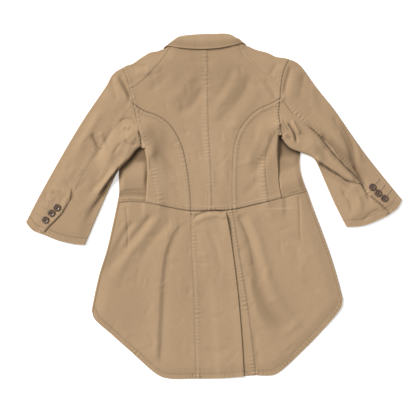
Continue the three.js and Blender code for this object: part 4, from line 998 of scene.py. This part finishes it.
def wall(name, grid, on_top, grain=0.0):
    """A closed wall, half of the cloth's thickness to each side of a grid of points."""
    rows, columns = grid.shape[:2]
    normal = unit(np.cross(np.gradient(grid, axis=0), np.gradient(grid, axis=1)))
    sides = grid + normal * CLOTH / 2, grid - normal * CLOTH / 2
    points = np.concatenate([side.reshape(-1, 3) for side in sides])
    points[:, 2] = np.maximum(points[:, 2], 0)
    ids = np.arange(rows * columns).reshape(rows, columns)
    under = ids + rows * columns
    rim = np.concatenate([ids[:-1, 0], ids[-1, :-1], ids[1:, -1][::-1], ids[0, 1:][::-1]])
    rim_under = rim + rows * columns
    quads = np.concatenate([
        np.stack([ids[:-1, :-1], ids[1:, :-1], ids[1:, 1:], ids[:-1, 1:]], axis=-1).reshape(-1, 4),
        np.stack([under[:-1, :-1], under[:-1, 1:], under[1:, 1:], under[1:, :-1]], axis=-1).reshape(-1, 4),
        np.stack([rim, rim_under, np.roll(rim_under, -1), np.roll(rim, -1)], axis=-1),
    ])
    made = mesh_object(name, points, quads, twill)
    made.data.set_sharp_from_angle(angle=math.radians(RIM_ANGLE))
    x, y = grid.reshape(-1, 3)[:, :2].T
    for key, field in (("painted_deep_shade", DARK), ("tone", PAINTED_SHADE_LIGHT_AND_WEAR)):
        store(made, key, np.tile(sample(field, x, y), 2) * np.tile(on_top.ravel(), 2))
    turn = math.radians(grain)
    x, y, z = (points * MM).T
    weave = [x * math.cos(turn) + y * math.sin(turn), y * math.cos(turn) - x * math.sin(turn), z]
    store(made, "weave", np.stack(weave, axis=1), "FLOAT_VECTOR", "vector")
    return made


# Materials

def connect(node, inputs):
    """Sets inputs of a node, by name or number, each to a value or to another node's output."""
    for key, value in inputs.items():
        socket = node.inputs[key]
        if isinstance(value, bpy.types.NodeSocket):
            node.id_data.links.new(value, socket)
        else:
            socket.default_value = (*value, 1) if socket.type == "RGBA" else value
    return node


def new_material(name, **inputs):
    """A material and its shader, with some inputs set. In their names an underscore is a space."""
    material = bpy.data.materials.new(name)
    material.use_nodes = True
    shader = material.node_tree.nodes["Principled BSDF"]
    return material, connect(shader, {key.replace("_", " "): value for key, value in inputs.items()})


def add_node(material, kind, output, inputs, **settings):
    """Adds a node to a material, and gives its output."""
    node = material.node_tree.nodes.new("ShaderNode" + kind)
    for key, value in settings.items():
        setattr(node, key, value)
    return connect(node, inputs).outputs[output]


def add_ramp(material, factor, *stops):
    """Adds a ramp between two stops, each a place and a colour, and gives its colour."""
    node = material.node_tree.nodes.new("ShaderNodeValToRGB")
    for element, (place, colour) in zip(node.color_ramp.elements, stops):
        element.position, element.color = place, (*colour, 1)
    return connect(node, {"Fac": factor}).outputs["Color"]


def twill_material():
    """Brushed cotton twill: a fine diagonal rib, fibres, uneven tone, wear, and painted shade and light in
    its seams, folds and broad patches.
    """
    material, shader = new_material(
        "tan_twill", Roughness=0.92, Sheen_Weight=0.10, Sheen_Roughness=0.5, Specular_IOR_Level=0.15)

    def stored(name, output="Fac"):
        return add_node(material, "Attribute", output, {}, attribute_name=name)

    weave, tone = stored("weave", "Vector"), stored("tone")

    def noise(scale, stretch=(1, 1, 1)):
        place = add_node(material, "Mapping", "Vector", {"Vector": weave, "Scale": stretch})
        return add_node(material, "TexNoise", "Fac", {"Vector": place, "Scale": scale, "Detail": 3})

    def scaled(value, by, offset=0.0):
        return add_node(material, "Math", 0, {0: value, 1: by, 2: offset}, operation="MULTIPLY_ADD",
                        use_clamp=True)

    weaving = {"Vector": weave, "Scale": TWILL_SCALE, "Distortion": 0.7, "Detail": 1}
    rib = add_node(material, "TexWave", "Fac", weaving, bands_direction="DIAGONAL")
    colour = TAN_DEEP
    for factor, over in (
        (scaled(noise(9), 1.6, -0.3), TAN),
        (scaled(noise(420, (1, 0.25, 1)), 0.9, -0.25), TAN_FIBRE),
        (scaled(noise(560, (0.25, 1, 1)), 0.8, -0.28), TAN_SHADE),
        (scaled(rib, 0.22), TAN_SHADE),
        # Painted shade, painted light with wear, and painted deep shade in seams and folds
        (scaled(tone, 0.9), PAINTED_SHADE_COLOUR),
        (scaled(tone, -0.55), WEAR_AND_PAINTED_LIGHT),
        (scaled(stored("painted_deep_shade"), 0.95), PAINTED_DEEP_SHADE_COLOUR),
    ):
        colour = add_node(material, "Mix", 2, {"Factor": factor, 6: colour, 7: over}, data_type="RGBA")
    relief = add_node(material, "Math", 0, {0: rib, 1: scaled(noise(700), 1.0)}, operation="ADD")
    bump = {"Strength": 0.5, "Distance": TWILL_DEPTH, "Height": relief}
    connect(shader, {"Base Color": colour, "Normal": add_node(material, "Bump", "Normal", bump)})
    return material


def thread_material():
    """Sewing thread: two plies twisted round each other, a little lighter than the cloth."""
    material, shader = new_material("thread", Roughness=0.7, Sheen_Weight=0.2)
    place = add_node(material, "TexCoord", "Object", {})
    twist = {"Vector": place, "Scale": PLY_SCALE}
    ply = add_node(material, "TexWave", "Fac", twist, bands_direction="DIAGONAL")
    bump = add_node(material, "Bump", "Normal", {"Distance": PLY_DEPTH, "Height": ply})
    colour = add_ramp(material, ply, (0, THREAD_DEEP), (1, THREAD))
    connect(shader, {"Base Color": colour, "Normal": bump})
    return material


def horn_material():
    """Dark horn: brown streaks and cloudy spots under a low polish."""
    material, shader = new_material("horn", Roughness=0.34, Coat_Weight=0.15)
    place = add_node(material, "TexCoord", "Object", {})
    streaks = {"Vector": place, "Scale": (1, 2.6, 1), "Rotation": (0, 0, 0.7)}
    place = add_node(material, "Mapping", "Vector", streaks)
    cloud = add_node(material, "TexNoise", "Fac", {"Vector": place, "Scale": 150, "Detail": 5})
    connect(shader, {"Base Color": add_ramp(material, cloud, (0.34, HORN_DEEP), (0.72, HORN))})
    return material


twill, thread, horn = twill_material(), thread_material(), horn_material()
thread_dark, _ = new_material(
    "button_thread", Base_Color=THREAD_DARK, Roughness=0.8, Specular_IOR_Level=0.2)


# Pieces


def note_cut(grids):
    """Works out the width and length of a piece's flat cut, unfolded from its plan patches; it keeps
    neither.
    """
    wide = sum(np.hypot(*np.diff(g, axis=1).transpose(2, 0, 1)).sum(axis=1) for g in grids)
    long = max(np.hypot(*np.diff(g, axis=0).transpose(2, 0, 1)).sum(axis=0).max() for g in grids)


def declare(piece):
    """Attaches a piece of cloth to the root and hides the node that it replaces."""
    node = piece.name.replace("_cloth", "")
    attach(piece, "root")
    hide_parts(node)


def longest(lines):
    return max(length_along(line)[-1] for line in lines)


def cloth_piece(name, *patches, grain=0.0, row_step=FINE):
    """A piece of cloth. Each of its patches has four edges (near, far, first, last), a height and a
    step across, and the next patch begins where it ends."""
    rows = shares_for(longest(patches[0][0][:2]), row_step)
    made = [(patch(edges, rows, shares_for(longest(edges[2:]), step)), height)
            for edges, height, step in patches]
    note_cut([grid for grid, _ in made])
    whole, on_top = fold_together(made)
    return wall(name, draw_in(whole), on_top, grain)


def centre_back(half):
    armhole = stretch(half.armhole, half.shoulder_seam[-1], half.princess[0])
    neck = stretch(middle.neck_seam, middle.centre_seam[0], half.shoulder_seam[0])
    waist = stretch(half.waist, middle.centre_seam[-1], half.princess[-1])
    edges = middle.centre_seam, join(armhole, half.princess), join(neck, half.shoulder_seam), waist
    return cloth_piece(f"centre_back_cloth_{half.side}", (edges, top, BROAD))


def side_back(half):
    armhole = stretch(half.armhole, half.princess[0], half.side_seam[0])
    waist = stretch(half.waist, half.princess[-1], half.side_seam[-1])
    edges = half.princess, half.side_seam, armhole, waist
    return cloth_piece(f"side_back_cloth_{half.side}", (edges, top, FINE))


def side_panel(half):
    """A side panel: the strip beside its seam, the tuck's hidden layer, and the sunk part under it."""
    tuck, seam, edge = half.tuck_edge, half.side_seam, half.side_edge
    share = np.linspace(0, 1, len(tuck))
    depth = half.inward * mix(TUCK["top"], TUCK["waist"], share)
    inner = tuck + np.stack([depth, 0 * share], axis=1)
    waist = np.vstack([inner[-1:], stretch(half.waist, tuck[-1], edge[-1])])
    strip = seam, tuck, straight(seam[0], tuck[0]), stretch(half.waist, seam[-1], tuck[-1])
    hidden = tuck, inner, straight(tuck[0], inner[0]), straight(tuck[-1], inner[-1])
    sunk = inner, edge, join(inner[:1], half.sunk_top), waist
    made = cloth_piece(
        f"side_panel_cloth_{half.side}", (strip, top, FINE),
        (hidden, lambda x, y: np.full_like(x, THIRD), UNDER_STEP), (sunk, sunk_height(half), FINE))
    shade_sunk(made, half)
    return made


def shade_sunk(made, half):
    """Paints shade into a side panel's sunk part where the sleeve and the tuck shut light out, and a painted
    shadow line under the sleeve.
    """
    place = np.empty(len(made.data.vertices) * 3)
    made.data.vertices.foreach_get("co", place)
    x, y, _ = place.reshape(-1, 3).T / MM
    tone = np.empty(len(x))
    made.data.attributes["tone"].data.foreach_get("value", tone)
    inside = (x - x_at(half.tuck_edge, y)) * half.inward
    sunk = (inside < -SUNK_CLEAR) & (tone == 0)
    sleeve, tuck, low, corner, gone = SUNK_SHADE[half.side]
    deep, wide, tall, corner_x, corner_y = corner
    from_sleeve = beside(half.sleeve_inner, x, y)[0]
    above = y - y_at(half.waist, x)
    lit = ((1 - sleeve[0] * bell(from_sleeve, sleeve[1]))
           * (1 - tuck[0] * bell(inside, tuck[1]) * smoothstep(y, *gone))
           * (1 - low[0] * bell(above - SUNK_LOW, low[1]))
           * (1 - deep * np.exp(-((x - corner_x) / wide) ** 6 - ((y - corner_y) / tall) ** 6)))
    store(made, "tone", np.where(sunk, 1 - lit, tone))
    # Painted shadow line along the sleeve's edge
    under_sleeve = bell(from_sleeve, UNDER_SLEEVE) * smoothstep(y, *UNDER_SLEEVE_FADE)
    store(made, "painted_deep_shade", np.where(sunk, under_sleeve, 0))


def front(half):
    armhole = stretch(half.armhole, half.shoulder_seam[-1], half.shoulder_edge[-1])
    over = half.shoulder_seam, half.shoulder_edge, half.neck_edge, armhole
    opening = join(half.neckline, half.front_edge)
    under = half.shoulder_edge, half.front_waist[::-1], opening, half.front_side
    return cloth_piece(
        f"front_cloth_{half.side}", (over, top, FINE), (under, front_height(half), UNDER_STEP))


def skirt(half):
    waist = stretch(half.waist, half.vent_seam[0], half.skirt_edge[0])
    front_hem = stretch(middle.front_hem, half.skirt_edge[-1], half.skirt_front_edge[-1])
    over = half.vent_seam, half.skirt_edge, waist, half.hem
    under = half.skirt_edge, half.skirt_front_edge, half.front_waist, front_hem
    return cloth_piece(f"skirt_cloth_{half.side}", (over, top, BROAD),
                       (under, front_height(half), UNDER_STEP), row_step=SKIRT_ROWS)


def sleeve(half, name, edge):
    """A sleeve's outer or inner half, from the elbow seam round its edge to the forearm seam."""
    elbow, forearm = half.elbow_seam, half.forearm_seam
    over = (elbow, edge, stretch(half.armhole, elbow[0], edge[0]),
            stretch(half.cuff, elbow[-1], edge[-1]))
    under = (edge, forearm, stretch(half.lower_armhole, edge[0], forearm[0]),
             stretch(half.cuff, edge[-1], forearm[-1]))
    return cloth_piece(f"{name}_cloth_{half.side}", (over, top, FINE),
                       (under, sleeve_below(half), UNDER_STEP), grain=SLEEVE_GRAIN[half.side])


def centre_tail():
    waist_end = left.waist[-1]
    waist = stretch(left.waist, left.vent_seam[0], waist_end)
    first = join(waist, straight(waist_end, middle.flap_edge[0]))
    edges = left.vent_seam, middle.flap_edge, first, middle.flap_hem
    return cloth_piece("centre_tail_cloth", (edges, lapped_top, BROAD))


def vent_underlap():
    hidden = middle.flap_edge - np.array([VENT_LAP, 0])
    near = np.vstack([UNDERLAP_CORNER, hidden[4:-4], middle.underlap_hem[0]])
    upper = straight(UNDERLAP_CORNER, right.vent_seam[0])
    return cloth_piece(
        "vent_underlap_cloth", ((near, right.vent_seam, upper, middle.underlap_hem), top, FINE))


def collar_fall():
    """The collar's fall across the back, and its two ends, which turn under along the neckline."""
    def leaf(half):
        tip = np.stack([half.leaf_outer[-1], half.leaf_inner[-1]])
        return half.collar_end, tip, half.leaf_outer, half.leaf_inner

    def rising(x, y):
        across = np.broadcast_to(COLLAR_ACROSS.reshape((-1,) + (1,) * (x.ndim - 1)), x.shape)
        inner = smoothstep(x, *COLLAR_ENDS[:2]) * (1 - smoothstep(x, *COLLAR_ENDS[2:]))
        gape = COLLAR_GAPE * inner * (1 - smoothstep(across, 0, COLLAR_GAPE_END))
        ripple = COLLAR_RIPPLE * np.sin(x / RIPPLE_LONG)
        ripple *= np.sin(x / RIPPLE_SHORT + across * RIPPLE_SHIFT) * inner
        under = np.maximum(sample(SMOOTH, x, y_at(middle.collar_low, x)), BACK)
        return under + LAYER + COLLAR_CLEARANCE + np.interp(across, *COLLAR_RISE) + gape + ripple

    def flat(x, y):
        return np.full_like(x, FLOOR_SHEET)

    end, tip, outer, inner = leaf(left)
    left_leaf = tip, end, outer[::-1], inner[::-1]
    band = left.collar_end, right.collar_end, middle.collar_low, middle.collar_roll
    grids = [(patch(edges, COLLAR_ACROSS, shares_for(length_along(edges[2])[-1], FINE)), height)
             for edges, height in ((left_leaf, flat), (band, rising), (leaf(right), flat))]
    whole = np.concatenate([grids[0][0], grids[1][0][:, 1:], grids[2][0][:, 1:]], axis=1)
    note_cut([whole])
    whole = draw_in(fold_together(grids, COLLAR_FOLD)[0])
    made = wall("collar_fall_cloth", whole, np.zeros(whole.shape[:2]))
    across = np.tile(np.repeat(COLLAR_ACROSS, whole.shape[1]), 2)
    # Painted shade and painted light in bands across the fall
    store(made, "tone", sum(strength * bell(across - at, wide) for at, wide, strength in COLLAR_PAINTED_SHADE_AND_LIGHT))
    return made


def collar_stand():
    low = stretch(middle.neck_seam, *STAND_LOW) + np.array([0, STAND_GAP_LOW])
    high = stretch(middle.collar_roll, *STAND_HIGH) - np.array([0, STAND_GAP_HIGH])
    edges = low, high, np.stack([low[0], high[0]]), np.stack([low[-1], high[-1]])

    def height(x, y):
        return BACK + STAND_RISE * smoothstep(y, *STAND_SLOPE)

    return cloth_piece("collar_stand_cloth", (edges, height, FINE))


# Sewing thread

def sew(name, points, faces, material, slot):
    """A piece of thread that rides with the jacket."""
    made = mesh_object(name, points, faces, material)
    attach(made, "root")


def around(count):
    """Evenly spaced angles, once round."""
    return 2 * math.pi * np.arange(count) / count


def end_faces(last):
    """The faces that close a six-sided thread, from where the points of its last ring start."""
    return [[3, 2, 1, 0], [5, 4, 3, 0]] + [[last + k for k in face] for face in ((0, 1, 2, 3), (0, 3, 4, 5))]


def stitches(name, rows, height=top):
    """The visible stitches of some rows of plan lines, as small lying capsules."""
    places = []
    for row in rows:
        count = max(1, int(length_along(row)[-1] / STITCH["pitch"]))
        share = (np.arange(count) + 0.5) / count
        probe = STITCH["probe"] / count
        before, after = at_shares(row, share - probe), at_shares(row, share + probe)
        places.append(np.concatenate([(before + after) / 2, unit(after - before)], axis=1))
    places = np.concatenate(places)
    spots, runs = places[:, :2], places[:, 2:]
    across = np.stack([-runs[:, 1], runs[:, 0]], axis=1)
    turns = around(THREAD_SIDES)
    rings = []
    for along, thick in STITCH_SHAPE:
        centre = spots + runs * along * STITCH["length"]
        lift = STITCH["rise"] - STITCH["sink"] * abs(along) * 2
        z = height(centre[:, 0], centre[:, 1]) + CLOTH / 2 + lift
        side = STITCH["radius"] * thick * np.cos(turns)
        up = STITCH["radius"] * thick * np.sin(turns)
        flat = centre[:, None] + across[:, None] * side[None, :, None]
        rings.append(np.concatenate([flat, (z[:, None] + up[None])[..., None]], axis=2))
    points = np.stack(rings, axis=1).reshape(-1, 3)
    size = len(STITCH_SHAPE) * THREAD_SIDES
    ids = np.arange(size).reshape(-1, THREAD_SIDES)
    near, far = ids[:-1], ids[1:]
    quads = np.stack([near, np.roll(near, -1, axis=1), np.roll(far, -1, axis=1), far], axis=-1)
    one = np.concatenate([quads.reshape(-1, 4), end_faces(size - THREAD_SIDES)])
    faces = one[None] + np.arange(len(spots))[:, None, None] * size
    sew(name, points, faces.reshape(-1, 4), thread, "twill")


def seam_rows(names, wanted):
    """The rows of topstitching along some of one half's seams."""
    return [moved(table_line(name, half), side * away)
            for name, half, side, *_, offsets in SEAMS if name in names and half == wanted
            for away in offsets]


def all_stitches():
    for half in halves:
        hem = moved(half.hem, -HEM_ROW * half.inward)
        vent = seam_rows(("vent_seam",), "right") if half is right else []
        stitches(f"stitches_back_{half.side}", seam_rows(BACK_SEAMS, half.side))
        stitches(f"stitches_skirt_{half.side}", [hem] + vent)
    stitches("stitches_centre", seam_rows(("centre_seam",), "middle"))
    flap = seam_rows(("vent_seam",), "left") + [moved(middle.flap_hem, HEM_ROW), curve(PLEAT_STITCH)]
    stitches("stitches_tail", flap, lapped_top)
    stitches("stitches_underlap", [moved(middle.underlap_hem, HEM_ROW)[UNDERLAP_ROW]])


# Cuff buttons and buttonholes

def button_ground(x, y):
    """The height that a button lies on: the cloth's highest place under it."""
    turns = np.linspace(0, 2 * math.pi, 25)
    ring = top(x + BUTTON_RADIUS * np.cos(turns), y + BUTTON_RADIUS * np.sin(turns))
    return max(ring.max(), top(np.array([x]), np.array([y]))[0]) + CLOTH / 2 + BUTTON_GAP


def button(side, number, centre):
    """A turned button with a rim, a sunk middle and four holes."""
    rings, turns = np.array(BUTTON_PROFILE), around(BUTTON_SIDES)
    ring = np.stack([
        np.outer(rings[:, 0], np.cos(turns)), np.outer(rings[:, 0], np.sin(turns)),
        np.repeat(rings[:, 1:], BUTTON_SIDES, axis=1) / BUTTON_RADIUS], axis=-1) * BUTTON_RADIUS
    ring[[0, -1], :, :2] = 0
    points = ring.reshape(-1, 3)
    ids = np.arange(len(points)).reshape(len(rings), BUTTON_SIDES)
    low, high = ids[1:], ids[:-1]
    quads = np.stack([low, np.roll(low, -1, axis=1), np.roll(high, -1, axis=1), high], axis=-1)
    made = mesh_object(f"horn_button_{side}_{number}", points + centre, quads.reshape(-1, 4), horn)
    cutters = []
    for sx, sy in ((1, 1), (-1, 1), (-1, -1), (1, -1)):
        bpy.ops.mesh.primitive_cylinder_add(
            vertices=HOLE_SIDES, radius=HOLE_RADIUS * MM, depth=HOLE_DEPTH * MM,
            location=(centre + [sx * HOLE_SPREAD, sy * HOLE_SPREAD, HOLE_MIDDLE]) * MM)
        cutters.append(bpy.context.object)
        cut = made.modifiers.new("hole", "BOOLEAN")
        cut.operation, cut.solver, cut.object = "DIFFERENCE", "EXACT", cutters[-1]
    mesh = clean_copy(made)
    for cutter in cutters:
        bpy.data.objects.remove(cutter)
    made.modifiers.clear()
    made.data = mesh
    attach(made, "root")
    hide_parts(f"button_{side}_{number}")


def clean_copy(made):
    """The piece's mesh as its modifiers leave it, welded and sharp only at its edges."""
    graph = bpy.context.evaluated_depsgraph_get()
    mesh = bpy.data.meshes.new_from_object(made.evaluated_get(graph))
    work = bmesh.new()
    work.from_mesh(mesh)
    bmesh.ops.remove_doubles(work, verts=work.verts, dist=WELD)
    bmesh.ops.dissolve_degenerate(work, edges=work.edges, dist=WELD)
    work.to_mesh(mesh)
    work.free()
    mesh.set_sharp_from_angle(angle=math.radians(BUTTON_ANGLE))
    return mesh


def tube(points, radius):
    """A round thread along some points, as points and faces."""
    points = np.asarray(points, float)
    run = unit(np.gradient(points, axis=0))
    across = unit(np.cross(run, [0, 0, 1]) + 1e-9)
    up = np.cross(across, run)
    turns = around(THREAD_SIDES)
    shape = across[:, None] * np.cos(turns)[None, :, None] + up[:, None] * np.sin(turns)[None, :, None]
    rings = points[:, None] + shape * radius
    ids = np.arange(len(points) * THREAD_SIDES).reshape(-1, THREAD_SIDES)
    near, far = ids[:-1], ids[1:]
    quads = np.stack([near, far, np.roll(far, -1, axis=1), np.roll(near, -1, axis=1)], axis=-1)
    return rings.reshape(-1, 3), np.concatenate([quads.reshape(-1, 4), end_faces(ids[-1, 0])])


def joined(parts):
    """Several parts' points and faces as one."""
    starts = np.cumsum([0] + [len(points) for points, _ in parts])
    faces = [face + start for (_, face), start in zip(parts, starts)]
    return np.concatenate([points for points, _ in parts]), np.concatenate(faces)


def sewing_on(side, number, centre):
    """The crossed thread through a button's holes, down to the cloth."""
    reach = HOLE_SPREAD * math.sqrt(2)
    parts = []
    for turn, end, crossing in SEWN_ON:
        run = np.array([math.cos(math.radians(turn)), math.sin(math.radians(turn)), 0])
        half_path = [(1, end)] + SEWN_PATH
        path = [(-share, z) for share, z in half_path] + [(0, crossing)] + half_path[::-1]
        for away in (-SEWN_BESIDE, SEWN_BESIDE):
            shift = np.array([-run[1], run[0], 0]) * away
            spots = [centre + run * (reach * share) + shift + np.array([0, 0, z]) for share, z in path]
            parts.append(tube(spots, SEWN_RADIUS))
    sew(f"button_thread_{side}_{number}", *joined(parts), thread_dark, "button")


def buttonhole(side, number, place, towards):
    """A worked buttonhole: two raised, closely stitched lips that run in from the button."""
    run = np.array(towards, float) / np.hypot(*towards)
    across = np.array([-run[1], run[0]])

    def worked(along, beside_it, lift):
        spots = (np.array(place) + run * (BUTTONHOLE["start"] + along * BUTTONHOLE["length"])
                 + across * beside_it * BUTTONHOLE["width"] / 2)
        z = top(spots[:, 0], spots[:, 1]) + CLOTH / 2 + lift
        return tube(np.concatenate([spots, z[:, None]], axis=1), BUTTONHOLE["thread"])

    along = np.linspace(0, 1, LIP_POINTS)[:, None]
    over = np.linspace(-BUTTONHOLE["end_share"], BUTTONHOLE["end_share"], END_POINTS)[:, None]
    lips = [worked(along, lip, BUTTONHOLE["lip_lift"]) for lip in (-1, 1)]
    ends = [worked(end, over, BUTTONHOLE["end_lift"]) for end in (0, 1)]
    sew(f"buttonhole_{side}_{number}", *joined(lips + ends), thread, "twill")


pieces = []
for half in halves:
    pieces += [centre_back(half), side_back(half), side_panel(half), front(half), skirt(half),
               sleeve(half, "top_sleeve", half.sleeve_outer),
               sleeve(half, "under_sleeve", half.sleeve_inner)]
pieces += [centre_tail(), vent_underlap(), collar_fall(), collar_stand()]
for piece in pieces:
    declare(piece)
for half in halves:
    for number, place in enumerate(half.buttons, 1):
        centre = np.array([*place, button_ground(*place)])
        button(half.side, number, centre)
        sewing_on(half.side, number, centre)
        buttonhole(half.side, number, place, HOLE_RUNS[half.side])
all_stitches()


# Floor, light and camera

def add_light(name, kind, energy, away, **settings):
    """A light that shines from a direction towards the middle of the scene."""
    data = bpy.data.lights.new(name, kind)
    data.energy = energy
    for key, value in settings.items():
        setattr(data, key, value)
    light = bpy.data.objects.new(name, data)
    bpy.context.scene.collection.objects.link(light)
    light.rotation_euler = (-Vector(away)).to_track_quat("-Z", "Y").to_euler()
    return light


bpy.ops.mesh.primitive_plane_add(size=FLOOR_SIZE, location=(0, 0, FLOOR_LEVEL))
floor = bpy.context.object
floor.name = "floor"
floor_white, _ = new_material(
    "floor_white", Base_Color=FLOOR_WHITE, Roughness=1.0, Specular_IOR_Level=0.0, Emission_Color=WHITE,
    Emission_Strength=FLOOR_GLOW)
floor.data.materials.append(floor_white)

add_light("key", "SUN", KEY, KEY_FROM, angle=KEY_SOFTNESS)
fill = add_light("fill", "AREA", FILL, FILL_FROM, shape="RECTANGLE", size=FILL_SIZE, size_y=FILL_SIZE)
fill.location = FILL_FROM
world = bpy.data.worlds.new("studio")
bpy.context.scene.world = world
world.use_nodes = True
connect(world.node_tree.nodes["Background"], {0: WHITE, 1: WORLD})
bpy.context.scene.view_settings.view_transform = "Standard"

camera_data = bpy.data.cameras.new("camera")
camera_data.sensor_width = SENSOR
camera_data.lens = SENSOR * CAMERA_HEIGHT / FRAME_WIDTH
camera = bpy.data.objects.new("camera", camera_data)
camera.location = (*VIEW_CENTRE, CAMERA_HEIGHT)
bpy.context.scene.collection.objects.link(camera)
bpy.context.scene.camera = camera
